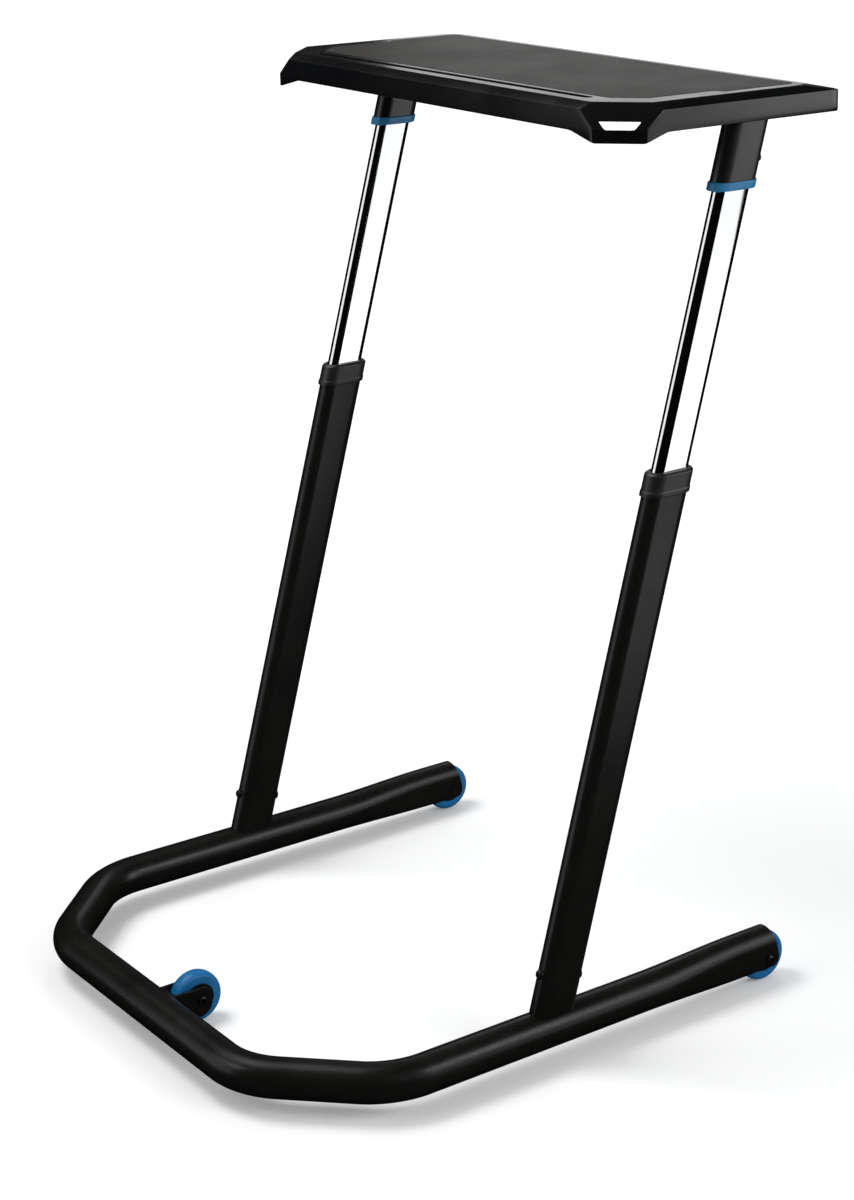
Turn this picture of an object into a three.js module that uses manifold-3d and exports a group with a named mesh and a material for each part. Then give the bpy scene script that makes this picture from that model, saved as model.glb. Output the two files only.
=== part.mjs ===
// Height-adjustable desk on a wheeled U-shaped base, made to stand over the front wheel of a
// bicycle on a trainer. Millimetres: X across the desk, Y from the cross bar towards the rider, Z up.
import * as THREE from 'three';
import { mergeVertices } from 'three/addons/utils/BufferGeometryUtils.js';
import Module from 'manifold-3d';

const wasm = await Module();
wasm.setup();

// Clearances
const seatGap = 0.3; // between pieces that rest in or on each other
const runGap = 0.3; // between pieces that turn or slide on each other
const overrun = 5; // how far a cutter passes the face it cuts

// Base tube: one round steel tube bent into a U with cut corners
const tubeDiameter = 52;
const tubeWall = 2;
const tubeHeight = 43.5; // centreline above the floor
const cornerCut = 135; // each 45 degree corner, measured along the leg
const bendRadius = 110; // of the centreline
const crossToAxle = 731; // cross bar centreline to the leg wheels' axle
const pressedWidth = 43; // the leg ends are pressed flat-sided over the wheels
const pressedRise = 10; // the round top's centre above the tube's centreline
const pressedDrop = 24.5; // the pressed bottom below it
const pressedCorner = 8;
const pressedLength = 40; // fully pressed stretch before the axle
const pressBlend = 75; // stretch over which the round tube becomes the pressed one
const endReach = 8; // how far the top of the tube passes the axle
const lobeRadius = 17; // rounded cheek below the axle

// Wheels: a blue tyre on a black hub that turns on a sleeve
const wheelRadius = 35.5;
const wheelWidth = 24;
const wheelSides = 24;
const tyreSeat = 21;
const tyreCrownShares = [[0, 1], [0.6, 1], [0.86, 0.84], [0.97, 0.54], [1, 0.24]];
const hubRimWidth = 22;
const hubRimWall = 3.5;
const hubWeb = 6;
const hubBoss = 8;
const hubSide = 0.8; // between the hub's boss and each cheek
const sleeveRadius = 6;
const axleRadius = 4;
const axleHead = 7;
const axleHeadHeight = 4.2;
const domeShares = [[1, 0], [1, 0.35], [0.8, 0.75], [0.45, 1], [0, 1]];
const forkGap = 29; // between the cheeks of the centre wheel's fork
const slotSide = 2.2; // between a tyre and the sides of the slot it drops through
const slotEnd = 3.5; // between a tyre and the end of that slot

// Fork of the centre wheel, welded to the inner side of the cross bar
const crossToFork = 68; // cross bar centreline to the fork's axle
const forkPlate = 4;
const forkRise = 9.5; // top edge above the tube's centreline
const forkDrop = 20; // bottom edge below it
const forkLobe = 18;
const forkLobeLow = 19.5; // radius of its lower round, set back by a cheek's thickness
const forkWeb = 4.5; // what is left between the cheeks next to the tube

// Posts: flat-oval tubes that lean towards the rider
const postTilt = THREE.MathUtils.degToRad(15.7);
const postFoot = 370; // cross bar centreline to the post's axis at the leg's centreline
const outerWidth = 32;
const outerDepth = 62;
const outerWall = 2;
const outerTop = 725; // along the post from the leg's centreline
const innerWidth = 22;
const innerDepth = 52;
const innerWall = 1.5;
const innerInsert = 206; // of the inner post inside the outer one, at the photographed height
const stubTop = 105;
const stubWall = 3;
const footBoltAt = 72;
const footBoltRadius = 4;
const footHead = 6.5;
const footHeadHeight = 5;
const ovalSteps = 8; // facets in each half-round side of an oval

// Collar at the mouth of each outer post
const collarProud = 3;
const collarSkirt = 23; // down the outside of the post
const collarLip = 7; // above the post's end
const collarChamfer = 3;
const collarSleeve = 60; // down the inside of the post

// Upper end of the posts
const ringProud = 2;
const ringHeight = 11;
const bracketDrop = 75; // bracket seen below the desktop, along the post
const bracketScrewUp = 33; // above the bracket's lower end
const bracketScrewRadius = 3;
const bracketScrewReach = 17;
const screwHead = 6;
const screwHeadHeight = 5;
const innerTopUp = 48; // end of the inner post above the bracket's lower end
const plateThickness = 4;
const plateWidth = 78;
const plateStart = 120; // from the desktop's front edge
const plateEnd = 37; // from the rider's edge

// Desktop: moulded tray with a bevelled rim, a vertical fascia and cut front corners
const deskWidth = 790;
const deskDepth = 357;
const deskHeight = 1206; // top of the rim as photographed
const frontOverhang = 222.5; // desktop's front edge to the post's axis at the fascia's bottom
const postInset = 25; // desktop's side to the posts' axis, above the legs' centrelines
const fasciaHeight = 27;
const bevelDrop = 8;
const bevelInset = 13;
const riderBevel = 37;
const fasciaCorner = 9;
const rimCorner = 24;
const cornerSteps = 5;
const shellWall = 3;
const deckWall = 4;
const cavityDrop = 2;
const cavityBevelShare = 0.7;
const matRecess = 2;
const droop = 11; // front corners hang this far below the fascia
const droopFront = 90; // start of the droop on the front edge, from the square corner
const droopSide = 80;
const lipCut = 46; // corner cut at the lip, which is upright
const lipUpright = 17; // height of that upright stretch
const rimCut = 80; // corner cut at the rim, where the sloping facet ends
const facetWall = 3.5;
const slotBase = 15.5; // corner slot above the lip's bottom
const slotRise = 9.5;
const slotTopWidth = 52;
const slotBottomWidth = 35;
const grooveLength = 600; // groove that holds a tablet upright
const grooveWidth = 12;
const grooveDepth = 8;
const grooveFront = 31; // from the desktop's front edge
const troughWall = 3;
const ribThickness = 3;
const ribDepth = 12;
const ribShares = [-0.37, -0.185, 0, 0.185, 0.37]; // of the desktop's width

// Mat laid in the desktop's recess
const matThickness = 2.4;
const matGap = 0.5;
const matFront = 52; // from the desktop's front edge
const matRider = 47; // from the rider's edge
const matWideInset = 31; // from the desktop's side, rider part
const matNarrowInset = 45; // from the desktop's side, front part
const matStep = 188; // where the mat widens, from the front edge
const matStepRun = 8;
const matCut = 35;
const matCorner = 14;

// Steel rails under the desktop, from bracket to bracket
const railWidth = 30;
const railHeight = 16;
const railWall = 1.5;
const railInset = 10; // from the desktop's side
const frontRail = 145; // from the desktop's front edge
const rearRail = 62; // from the rider's edge
const deskScrewInset = 83; // from the desktop's side
const deskScrewRadius = 2.5;
const deskScrewBite = 2.5;
const deskScrewHead = 5.5;
const deskScrewHeadHeight = 3.2;

// Release: a lever under the desktop pushes a rod down and frees the lock in the outer post
const leverUp = 67; // pivot above the bracket's lower end
const leverPivot = 22; // pivot from the post's axis, towards the middle of the desk
const leverReach = 112;
const leverThickness = 6;
const leverWidth = 12;
const leverNose = 3.4;
const paddleStart = 52;
const paddleWidth = 28;
const paddleCorner = 7;
const earThickness = 4;
const earReach = 28;
const earHeight = 13;
const pinRadius = 2;
const pinHead = 3.4;
const pinHeadHeight = 1.4;
const windowHeight = 13;
const rodRadius = 3;
const rodHead = 5;
const rodHeadHeight = 2.5;

// Lock at the lower end of each inner post: a wedge on the rod backs a brake shoe
const glideLength = 50;
const glidePlug = 25;
const wedgeWidth = 13;
const wedgeHeight = 24;
const wedgeFoot = 12; // above the glide's bottom
const wedgeBack = 5;
const wedgeNarrow = 4; // front face from the axis, at the top
const wedgeWide = 10; // and at the bottom
const shoeHeight = 18;
const wedgeRoom = 6; // left in the glide for the wedge's travel

// Places that follow from the sizes above
const legX = deskWidth / 2 - postInset;
const tubeRadius = tubeDiameter / 2;
const axleHeight = wheelRadius * Math.cos(Math.PI / wheelSides);
const deskBottom = deskHeight - bevelDrop - fasciaHeight;
const fasciaTop = deskHeight - bevelDrop;
const lipBottom = deskBottom - droop;
const deckTop = deskHeight - matRecess;
const deckUnder = deckTop - deckWall;
const plateTop = deckUnder - seatGap;
const plateBottom = plateTop - plateThickness;
const railTop = plateBottom - seatGap;
const fasciaAlong = (deskBottom - tubeHeight) / Math.cos(postTilt);
const bracketAlong = fasciaAlong - bracketDrop;
const innerTop = bracketAlong + innerTopUp;
const innerBottom = outerTop - innerInsert;
const leverAlong = bracketAlong + leverUp;
const glideBottom = innerBottom - seatGap - glideLength;
const deskFront = postFoot + (deskBottom - tubeHeight) * Math.tan(postTilt) - frontOverhang;
const deskBack = deskFront + deskDepth;
const railPlaces = [frontRail, deskDepth - rearRail];
const middleY = (deskBack - tubeRadius) / 2;

const finishes = {
  blackSteel: { color: 0x1c1c1b, roughness: 0.42, metalness: 0.3 },
  chrome: { color: 0xd8dadb, roughness: 0.08, metalness: 1 },
  zincBolt: { color: 0x2a2b2c, roughness: 0.35, metalness: 0.8 },
  blackPlastic: { color: 0x202123, roughness: 0.5, metalness: 0 },
  tray: { color: 0x2b2d2f, roughness: 0.45, metalness: 0 },
  mat: { color: 0x4b4a47, roughness: 0.85, metalness: 0 },
  blueTrim: { color: 0x2f86c6, roughness: 0.4, metalness: 0 },
  blueTyre: { color: 0x0f74c0, roughness: 0.45, metalness: 0 },
  castBlack: { color: 0x28292a, roughness: 0.5, metalness: 0.2 },
  steel: { color: 0x8e9194, roughness: 0.4, metalness: 0.9 },
  glide: { color: 0xc9c8c0, roughness: 0.6, metalness: 0 },
  brake: { color: 0x5b3f33, roughness: 0.9, metalness: 0 },
};

// Solids from geometries, always with their faces outward
function makeSolid(geometry) {
  const bare = geometry.index ? geometry.toNonIndexed() : geometry.clone();
  bare.deleteAttribute('normal');
  bare.deleteAttribute('uv');
  const merged = mergeVertices(bare);
  const places = merged.attributes.position.array;
  const corners = Uint32Array.from(merged.index.array);
  const kept = [];
  const a = new THREE.Vector3();
  const b = new THREE.Vector3();
  const c = new THREE.Vector3();
  let volume = 0;
  for (let i = 0; i < corners.length; i += 3) {
    const [i0, i1, i2] = [corners[i], corners[i + 1], corners[i + 2]];
    if (i0 === i1 || i1 === i2 || i2 === i0) {
      continue;
    }
    kept.push(i0, i1, i2);
    a.fromArray(places, 3 * i0);
    b.fromArray(places, 3 * i1);
    c.fromArray(places, 3 * i2);
    volume += a.dot(b.cross(c));
  }
  if (volume < 0) {
    kept.reverse();
  }
  const mesh = new wasm.Mesh({
    numProp: 3,
    vertProperties: Float32Array.from(places),
    triVerts: Uint32Array.from(kept),
  });
  return new wasm.Manifold(mesh);
}

function geometryOf(solid) {
  const mesh = solid.getMesh();
  const geometry = new THREE.BufferGeometry();
  geometry.setAttribute('position', new THREE.BufferAttribute(mesh.vertProperties, 3));
  geometry.setIndex(new THREE.BufferAttribute(mesh.triVerts, 1));
  geometry.computeVertexNormals();
  return geometry;
}

// A closed skin through rings of equal count, with flat ends
function loft(rings) {
  const count = rings[0].length;
  const places = [];
  const faces = [];
  rings.forEach((ring) => ring.forEach((p) => places.push(p.x, p.y, p.z)));
  for (let r = 0; r < rings.length - 1; r += 1) {
    for (let i = 0; i < count; i += 1) {
      const j = (i + 1) % count;
      const [low, high] = [r * count, (r + 1) * count];
      faces.push(low + i, low + j, high + j, low + i, high + j, high + i);
    }
  }
  const last = (rings.length - 1) * count;
  for (let i = 1; i < count - 1; i += 1) {
    faces.push(0, i + 1, i, last, last + i, last + i + 1);
  }
  const geometry = new THREE.BufferGeometry();
  geometry.setAttribute('position', new THREE.Float32BufferAttribute(places, 3));
  geometry.setIndex(faces);
  return geometry;
}

function box(x0, x1, y0, y1, z0, z1) {
  const geometry = new THREE.BoxGeometry(x1 - x0, y1 - y0, z1 - z0);
  return geometry.translate((x0 + x1) / 2, (y0 + y1) / 2, (z0 + z1) / 2);
}

function extrude(shape, depth, steps = ovalSteps) {
  return new THREE.ExtrudeGeometry(shape, { depth, bevelEnabled: false, curveSegments: steps });
}

// An outline drawn in (Y, Z) and carried along X, centred
function extrudeAcross(shape, width, steps) {
  const turn = new THREE.Matrix4().makeBasis(
    new THREE.Vector3(0, 1, 0),
    new THREE.Vector3(0, 0, 1),
    new THREE.Vector3(1, 0, 0),
  );
  return extrude(shape, width, steps).applyMatrix4(turn).translate(-width / 2, 0, 0);
}

// An outline drawn in (X, Z) and carried along Y, centred
function extrudeDeep(shape, depth, steps) {
  return extrude(shape, depth, steps).rotateX(Math.PI / 2).translate(0, depth / 2, 0);
}

function outline(points) {
  return new THREE.Shape(points.map(([u, v]) => new THREE.Vector2(u, v)));
}

// Revolved pieces: the profile holds [radius, height] pairs along the axis
function revolve(profile, sides, start = 0) {
  const points = profile.map(([radius, height]) => new THREE.Vector2(radius, height));
  return new THREE.LatheGeometry(points, sides, start);
}

function cylinder(radius, from, to, sides = 16) {
  return revolve([[0, from], [radius, from], [radius, to], [0, to]], sides);
}

const alongX = (geometry) => geometry.rotateZ(-Math.PI / 2);
const alongZ = (geometry) => geometry.rotateX(Math.PI / 2);

function union(solids) {
  return solids.reduce((whole, next) => whole.add(next));
}

function cut(solid, cutters) {
  return cutters.reduce((rest, cutter) => rest.subtract(makeSolid(cutter)), solid);
}

// Flat-oval section, long along Y
function ovalShape(width, depth) {
  const reach = (depth - width) / 2;
  const shape = new THREE.Shape();
  shape.absarc(0, reach, width / 2, 0, Math.PI, false);
  shape.absarc(0, -reach, width / 2, Math.PI, 2 * Math.PI, false);
  shape.closePath();
  return shape;
}

function ovalBar(width, depth, from, to) {
  return extrude(ovalShape(width, depth), to - from).translate(0, 0, from);
}

function ovalRing(width, depth, height) {
  const points = ovalShape(width, depth).extractPoints(ovalSteps).shape;
  const last = points.length - 1;
  const closed = points[0].distanceTo(points[last]) < 1e-6;
  return (closed ? points.slice(0, last) : points).map((p) => new THREE.Vector3(p.x, p.y, height));
}

function ovalTube(width, depth, wall, from, to) {
  const bore = ovalBar(width - 2 * wall, depth - 2 * wall, from - overrun, to + overrun);
  return cut(makeSolid(ovalBar(width, depth, from, to)), [bore]);
}

// Slides each line of a piece along the post, so that its square ends stand level on the leaning axis
function levelEnds(geometry) {
  return geometry.applyMatrix4(new THREE.Matrix4().makeShear(0, 0, 0, Math.tan(postTilt), 0, 0));
}

// Place of a post: its own Z runs up the leaning axis from the leg's centreline
function postPlace(side) {
  const lean = new THREE.Matrix4().makeRotationX(-postTilt);
  return lean.premultiply(new THREE.Matrix4().makeTranslation(side * legX, postFoot, tubeHeight));
}

const root = new THREE.Group();
root.position.y = -middleY;
const posts = { left: new THREE.Group(), right: new THREE.Group() };
const sides = { left: -1, right: 1 };
for (const [name, side] of Object.entries(sides)) {
  posts[name].position.set(side * legX, postFoot, tubeHeight);
  posts[name].rotation.x = -postTilt;
  root.add(posts[name]);
}

function addPiece(parent, name, solid, finish) {
  const mesh = new THREE.Mesh(geometryOf(solid), new THREE.MeshStandardMaterial(finishes[finish]));
  mesh.name = name;
  parent.add(mesh);
  return mesh;
}

// Base tube

// Share of the leg's pressed form at a distance from the cross bar: 0 round, 1 flat-sided
function pressedShare(y) {
  const start = crossToAxle - pressedLength - pressBlend;
  return THREE.MathUtils.smoothstep(y, start, start + pressBlend);
}

// Section of the tube as four rounds, which part and tighten where the tube is pressed
function tubeRing(station, wall, steps) {
  const share = pressedShare(station.y);
  const half = THREE.MathUtils.lerp(tubeDiameter, pressedWidth, share) / 2;
  const corner = THREE.MathUtils.lerp(tubeRadius, pressedCorner, share);
  const low = THREE.MathUtils.lerp(tubeRadius, pressedDrop, share);
  const rounds = [
    { across: 0, up: share * pressedRise, radius: half },
    { across: 0, up: share * pressedRise, radius: half },
    { across: corner - half, up: corner - low, radius: corner },
    { across: half - corner, up: corner - low, radius: corner },
  ];
  const ring = [];
  rounds.forEach((round, quarter) => {
    for (let i = 0; i <= steps; i += 1) {
      const angle = (Math.PI / 2) * (quarter + i / steps);
      const across = round.across + (round.radius - wall) * Math.cos(angle);
      const up = round.up + (round.radius - wall) * Math.sin(angle);
      ring.push(new THREE.Vector3(
        station.x + across * station.dirY,
        station.y - across * station.dirX,
        tubeHeight + up,
      ));
    }
  });
  return ring;
}

// Stations along the centreline, from the left leg's end round to the right leg's end
function tubeStations(endY, bendSteps, blendSteps) {
  const blendStart = crossToAxle - pressedLength - pressBlend;
  const legStations = [{ x: legX, y: endY, dirX: 0, dirY: 1 }];
  for (let i = 0; i <= blendSteps; i += 1) {
    const y = blendStart + pressBlend * (1 - i / blendSteps);
    legStations.push({ x: legX, y, dirX: 0, dirY: 1 });
  }
  const turn = Math.PI / 4;
  const setback = bendRadius * Math.tan(turn / 2);
  const bends = [
    { x: legX - bendRadius, y: cornerCut + setback, from: 0 },
    { x: legX - cornerCut - setback, y: bendRadius, from: -turn },
  ];
  const bendStations = [];
  bends.forEach((bend) => {
    for (let i = 0; i <= bendSteps; i += 1) {
      const angle = bend.from - (turn * i) / bendSteps;
      bendStations.push({
        x: bend.x + bendRadius * Math.cos(angle),
        y: bend.y + bendRadius * Math.sin(angle),
        dirX: -Math.sin(angle),
        dirY: Math.cos(angle),
      });
    }
  });
  const half = [...legStations, ...bendStations];
  const mirrored = half.map((s) => ({ x: -s.x, y: s.y, dirX: s.dirX, dirY: -s.dirY })).reverse();
  return [...half, ...mirrored];
}

// Side view of what is cut from each leg's end, from the axle: a slanted end and a round cheek
function endTrim() {
  const top = tubeHeight + pressedRise + pressedWidth / 2 - axleHeight;
  const hook = Math.hypot(endReach, top);
  const lean = Math.atan2(top, endReach) - Math.acos(lobeRadius / hook);
  const shape = new THREE.Shape();
  const far = wheelRadius + overrun;
  shape.moveTo(endReach, top);
  shape.lineTo(lobeRadius * Math.cos(lean), lobeRadius * Math.sin(lean));
  shape.absarc(0, 0, lobeRadius, lean, -Math.PI / 2, true);
  shape.lineTo(0, -far);
  shape.lineTo(far, -far);
  shape.lineTo(far, top + overrun);
  shape.lineTo(endReach, top + overrun);
  shape.closePath();
  return extrudeAcross(shape, tubeDiameter + overrun, 8).translate(0, crossToAxle, axleHeight);
}

function baseTube() {
  const end = crossToAxle + lobeRadius + overrun;
  const outer = tubeStations(end, 5, 5).map((s) => tubeRing(s, 0, 6));
  const inner = tubeStations(end + overrun, 3, 4).map((s) => tubeRing(s, tubeWall, 3));
  const slotHalf = wheelWidth / 2 + slotSide;
  const slotStart = crossToAxle - wheelRadius - slotEnd;
  const cutters = [loft(inner)];
  for (const side of Object.values(sides)) {
    const x = side * legX;
    cutters.push(
      endTrim().translate(x, 0, 0),
      box(x - slotHalf, x + slotHalf, slotStart, end + overrun, 0, axleHeight),
      alongX(cylinder(axleRadius + seatGap, -tubeDiameter, tubeDiameter))
        .translate(x, crossToAxle, axleHeight),
    );
  }
  return cut(makeSolid(loft(outer)), cutters);
}

addPiece(root, 'base_tube', baseTube(), 'blackSteel');

// Centre wheel's fork: side view extruded, slotted for the wheel and coped to the cross bar
function wheelFork() {
  const shape = new THREE.Shape();
  const rise = tubeHeight + forkRise - axleHeight;
  const fall = tubeHeight - forkDrop - axleHeight;
  const lean = Math.acos(THREE.MathUtils.clamp(forkLobe / rise, -1, 1));
  shape.moveTo(-crossToFork, rise);
  shape.lineTo(-forkLobe, rise);
  shape.absarc(0, 0, forkLobe, Math.PI / 2 + lean / 2, 0, true);
  shape.absarc(-forkPlate, -forkPlate, forkLobeLow, 0, -Math.PI / 2, true);
  shape.lineTo(-crossToFork, fall);
  shape.closePath();
  const width = forkGap + 2 * forkPlate;
  const blank = extrudeAcross(shape, width, 8).translate(0, crossToFork, axleHeight);
  const half = forkGap / 2;
  const webEnd = tubeRadius + forkWeb;
  const far = crossToFork + wheelRadius;
  const coping = alongX(cylinder(tubeRadius + seatGap, -forkGap, forkGap, 24));
  const bore = alongX(cylinder(axleRadius + seatGap, -forkGap, forkGap));
  return cut(makeSolid(blank), [
    box(-half, half, webEnd, far, -overrun, deskHeight),
    coping.translate(0, 0, tubeHeight),
    box(-forkGap, forkGap, -crossToFork, 0, -overrun, deskHeight),
    bore.translate(0, crossToFork, axleHeight),
  ]);
}

addPiece(root, 'centre_wheel_fork', wheelFork(), 'blackSteel');

// Wheels

function tyre() {
  const depth = wheelRadius - tyreSeat;
  const half = wheelWidth / 2;
  const rising = tyreCrownShares.map(([r, w]) => [tyreSeat + r * depth, -w * half]);
  const falling = [...rising].reverse().map(([r, h]) => [r, -h]);
  const profile = [...rising, ...falling, rising[0]];
  return makeSolid(alongX(revolve(profile, wheelSides, Math.PI / wheelSides)));
}

function hub(gap) {
  const rim = tyreSeat - seatGap;
  const bore = sleeveRadius + runGap;
  const bossHalf = gap / 2 - hubSide;
  const side = (sign) => [
    [bore, sign * bossHalf],
    [hubBoss, sign * bossHalf],
    [hubBoss, (sign * hubWeb) / 2],
    [rim - hubRimWall, (sign * hubWeb) / 2],
    [rim - hubRimWall, (sign * hubRimWidth) / 2],
    [rim, (sign * hubRimWidth) / 2],
  ];
  const profile = [...side(-1), ...side(1).reverse(), side(-1)[0]];
  return makeSolid(alongX(revolve(profile, wheelSides, Math.PI / wheelSides)));
}

// Sleeve the hub turns on, clamped between the cheeks by the axle bolt
function axleSleeve(length) {
  const half = length / 2 - seatGap;
  const bore = axleRadius + seatGap;
  const profile = [[bore, -half], [sleeveRadius, -half], [sleeveRadius, half], [bore, half], [bore, -half]];
  return makeSolid(alongX(revolve(profile, 16)));
}

// Domed bolt along Y with its head towards +Y, and the domed nut for its other end
function bolt(radius, head, headHeight, grip, tail) {
  const dome = domeShares.map(([r, h]) => [r * head, grip + h * headHeight]);
  return revolve([[0, -tail], [radius, -tail], [radius, grip], ...dome], 16);
}

function domeNut(radius, head, headHeight, grip, tail) {
  const bore = radius + seatGap;
  const dome = domeShares.map(([r, h]) => [r * head, grip + h * headHeight]);
  const inside = Math.min(tail + seatGap, grip + headHeight - seatGap);
  return cut(makeSolid(revolve([[0, grip], ...dome], 16)), [cylinder(bore, 0, inside, 16)]);
}

function addWheel(name, x, y, gap, cheek, side) {
  const place = new THREE.Group();
  place.position.set(x, y, axleHeight);
  root.add(place);
  addPiece(place, `${name}_wheel_tyre`, tyre(), 'blueTyre');
  addPiece(place, `${name}_wheel_hub`, hub(gap), 'blackPlastic');
  addPiece(place, `${name}_wheel_sleeve`, axleSleeve(gap), 'steel');
  const grip = gap / 2 + cheek + seatGap;
  const tail = grip + axleHeadHeight / 2;
  const screw = alongX(bolt(axleRadius, axleHead, axleHeadHeight, grip, tail));
  const nut = domeNut(axleRadius, axleHead, axleHeadHeight, grip, tail);
  const facing = side > 0 ? 0 : Math.PI;
  addPiece(place, `${name}_wheel_axle`, makeSolid(screw.rotateZ(facing)), 'zincBolt');
  const turned = geometryOf(nut).rotateZ(Math.PI / 2 + facing);
  addPiece(place, `${name}_wheel_nut`, makeSolid(turned), 'zincBolt');
}

addWheel('centre', 0, crossToFork, forkGap, forkPlate, 1);
for (const [name, side] of Object.entries(sides)) {
  addWheel(name, side * legX, crossToAxle, pressedWidth - 2 * tubeWall, tubeWall, side);
}

// Lower posts

function legCoping() {
  return cylinder(tubeRadius + seatGap, -outerDepth, outerDepth, 24).rotateX(postTilt);
}

function footBore() {
  return cylinder(footBoltRadius + seatGap, -outerDepth, outerDepth).translate(0, 0, footBoltAt);
}

function outerPost() {
  const tube = ovalTube(outerWidth, outerDepth, outerWall, 0, outerTop);
  return cut(makeSolid(levelEnds(geometryOf(tube))), [legCoping(), footBore()]);
}

function postStub() {
  const slack = 2 * (outerWall + seatGap);
  const tube = ovalTube(outerWidth - slack, outerDepth - slack, stubWall, 0, stubTop);
  return cut(tube, [legCoping(), footBore()]);
}

// Collar: a skirt over the post's end, a lip on top of it and a guide sleeve inside it
function postCollar() {
  const wide = 2 * collarProud;
  const top = outerTop + seatGap + collarLip;
  const shoulder = top - collarChamfer;
  const bottom = outerTop - collarSkirt;
  const narrow = wide - 2 * collarChamfer;
  const skirt = loft([
    ovalRing(outerWidth + wide - seatGap, outerDepth + wide - seatGap, bottom),
    ovalRing(outerWidth + wide, outerDepth + wide, bottom + collarChamfer),
    ovalRing(outerWidth + wide, outerDepth + wide, shoulder),
    ovalRing(outerWidth + narrow, outerDepth + narrow, top),
  ]);
  const inside = 2 * (outerWall + seatGap);
  const guide = [outerWidth - inside, outerDepth - inside];
  const socket = [outerWidth + 2 * seatGap, outerDepth + 2 * seatGap];
  const sleeve = makeSolid(ovalBar(guide[0], guide[1], outerTop - collarSleeve, shoulder));
  const wall = cut(
    makeSolid(ovalBar(socket[0], socket[1], bottom - overrun, outerTop + seatGap)),
    [ovalBar(guide[0], guide[1], bottom - 2 * overrun, top)],
  );
  const bore = ovalBar(innerWidth + 2 * runGap, innerDepth + 2 * runGap, 0, top + overrun);
  const collar = cut(makeSolid(skirt).subtract(wall).add(sleeve), [bore]);
  return makeSolid(levelEnds(geometryOf(collar)));
}

function footBolt() {
  const grip = outerDepth / 2 + seatGap;
  const tail = grip + footHeadHeight / 2;
  const screw = bolt(footBoltRadius, footHead, footHeadHeight, grip, tail).rotateX(Math.PI);
  return makeSolid(screw.translate(0, 0, footBoltAt));
}

function footNut() {
  const grip = outerDepth / 2 + seatGap;
  const tail = grip + footHeadHeight / 2;
  const nut = geometryOf(domeNut(footBoltRadius, footHead, footHeadHeight, grip, tail));
  return makeSolid(nut.translate(0, 0, footBoltAt));
}

// Upper posts

function innerPost() {
  const tube = ovalTube(innerWidth, innerDepth, innerWall, innerBottom, innerTop);
  const bore = cylinder(bracketScrewRadius + seatGap, 0, outerDepth);
  return cut(tube, [bore.translate(0, 0, bracketAlong + bracketScrewUp)]);
}

function trimRing() {
  const wide = 2 * ringProud;
  const top = bracketAlong - seatGap;
  const bottom = top - ringHeight;
  const edge = ringProud / 2;
  const skin = loft([
    ovalRing(outerWidth + wide - 2 * edge, outerDepth + wide - 2 * edge, bottom),
    ovalRing(outerWidth + wide, outerDepth + wide, bottom + edge),
    ovalRing(outerWidth + wide, outerDepth + wide, top - edge),
    ovalRing(outerWidth + wide - 2 * edge, outerDepth + wide - 2 * edge, top),
  ]);
  const bore = ovalBar(innerWidth + 2 * seatGap, innerDepth + 2 * seatGap, bottom - overrun, top + overrun);
  return makeSolid(levelEnds(geometryOf(cut(makeSolid(skin), [bore]))));
}

// Bracket: an oval socket over the inner post's end, with a plate that the desktop lies on
function topBracket(side) {
  const place = postPlace(side);
  const lean = (geometry) => geometry.applyMatrix4(place);
  const reach = bracketDrop + fasciaHeight;
  const plateEdge = deskWidth / 2 - bevelInset;
  const x = [side * (plateEdge - plateWidth), side * plateEdge];
  const plateX = [Math.min(...x), Math.max(...x)];
  const above = (z) => box(
    Math.min(0, side * deskWidth),
    Math.max(0, side * deskWidth),
    0,
    deskBack,
    z,
    deskHeight + deskWidth,
  );
  const top = bracketAlong + 2 * reach;
  const socket = lean(levelEnds(ovalBar(outerWidth, outerDepth, bracketAlong, top)));
  const hollow = [innerWidth + 2 * seatGap, innerDepth + 2 * seatGap];
  const bore = makeSolid(lean(levelEnds(ovalBar(hollow[0], hollow[1], bracketAlong - overrun, top))));
  const inward = (u) => -side * u;
  const ear = (sign) => {
    const near = leverWidth / 2 + runGap;
    const u = [inward(outerWidth / 2 - seatGap), inward(earReach)];
    const y = [sign * near, sign * (near + earThickness)];
    return makeSolid(lean(box(
      Math.min(...u),
      Math.max(...u),
      Math.min(...y),
      Math.max(...y),
      leverAlong - earHeight / 2,
      leverAlong + earHeight / 2,
    )));
  };
  const pinBore = lean(cylinder(pinRadius + seatGap, -outerDepth, outerDepth)
    .translate(inward(leverPivot), 0, leverAlong));
  const screwBore = lean(cylinder(bracketScrewRadius + seatGap, 0, outerDepth)
    .translate(0, 0, bracketAlong + bracketScrewUp));
  const windowHalf = leverWidth / 2 + runGap;
  const w = [0, inward(outerWidth / 2 + overrun)];
  const window = lean(box(
    Math.min(...w),
    Math.max(...w),
    -windowHalf,
    windowHalf,
    leverAlong - windowHeight / 2,
    leverAlong + windowHeight / 2,
  ));
  const body = cut(makeSolid(socket), [above(plateTop)]);
  const plate = makeSolid(box(
    plateX[0],
    plateX[1],
    deskFront + plateStart,
    deskBack - plateEnd,
    plateBottom,
    plateTop,
  ));
  const shell = union([body, plate, ear(-1), ear(1)]).subtract(cut(bore, [above(plateBottom)]));
  return cut(shell, [pinBore, screwBore, window, ...deskScrewBores(side)]);
}

function bracketScrew() {
  const grip = outerDepth / 2 + seatGap;
  const screw = bolt(bracketScrewRadius, screwHead, screwHeadHeight, grip, bracketScrewReach - grip);
  return makeSolid(screw.translate(0, 0, bracketAlong + bracketScrewUp));
}

// Desktop

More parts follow.
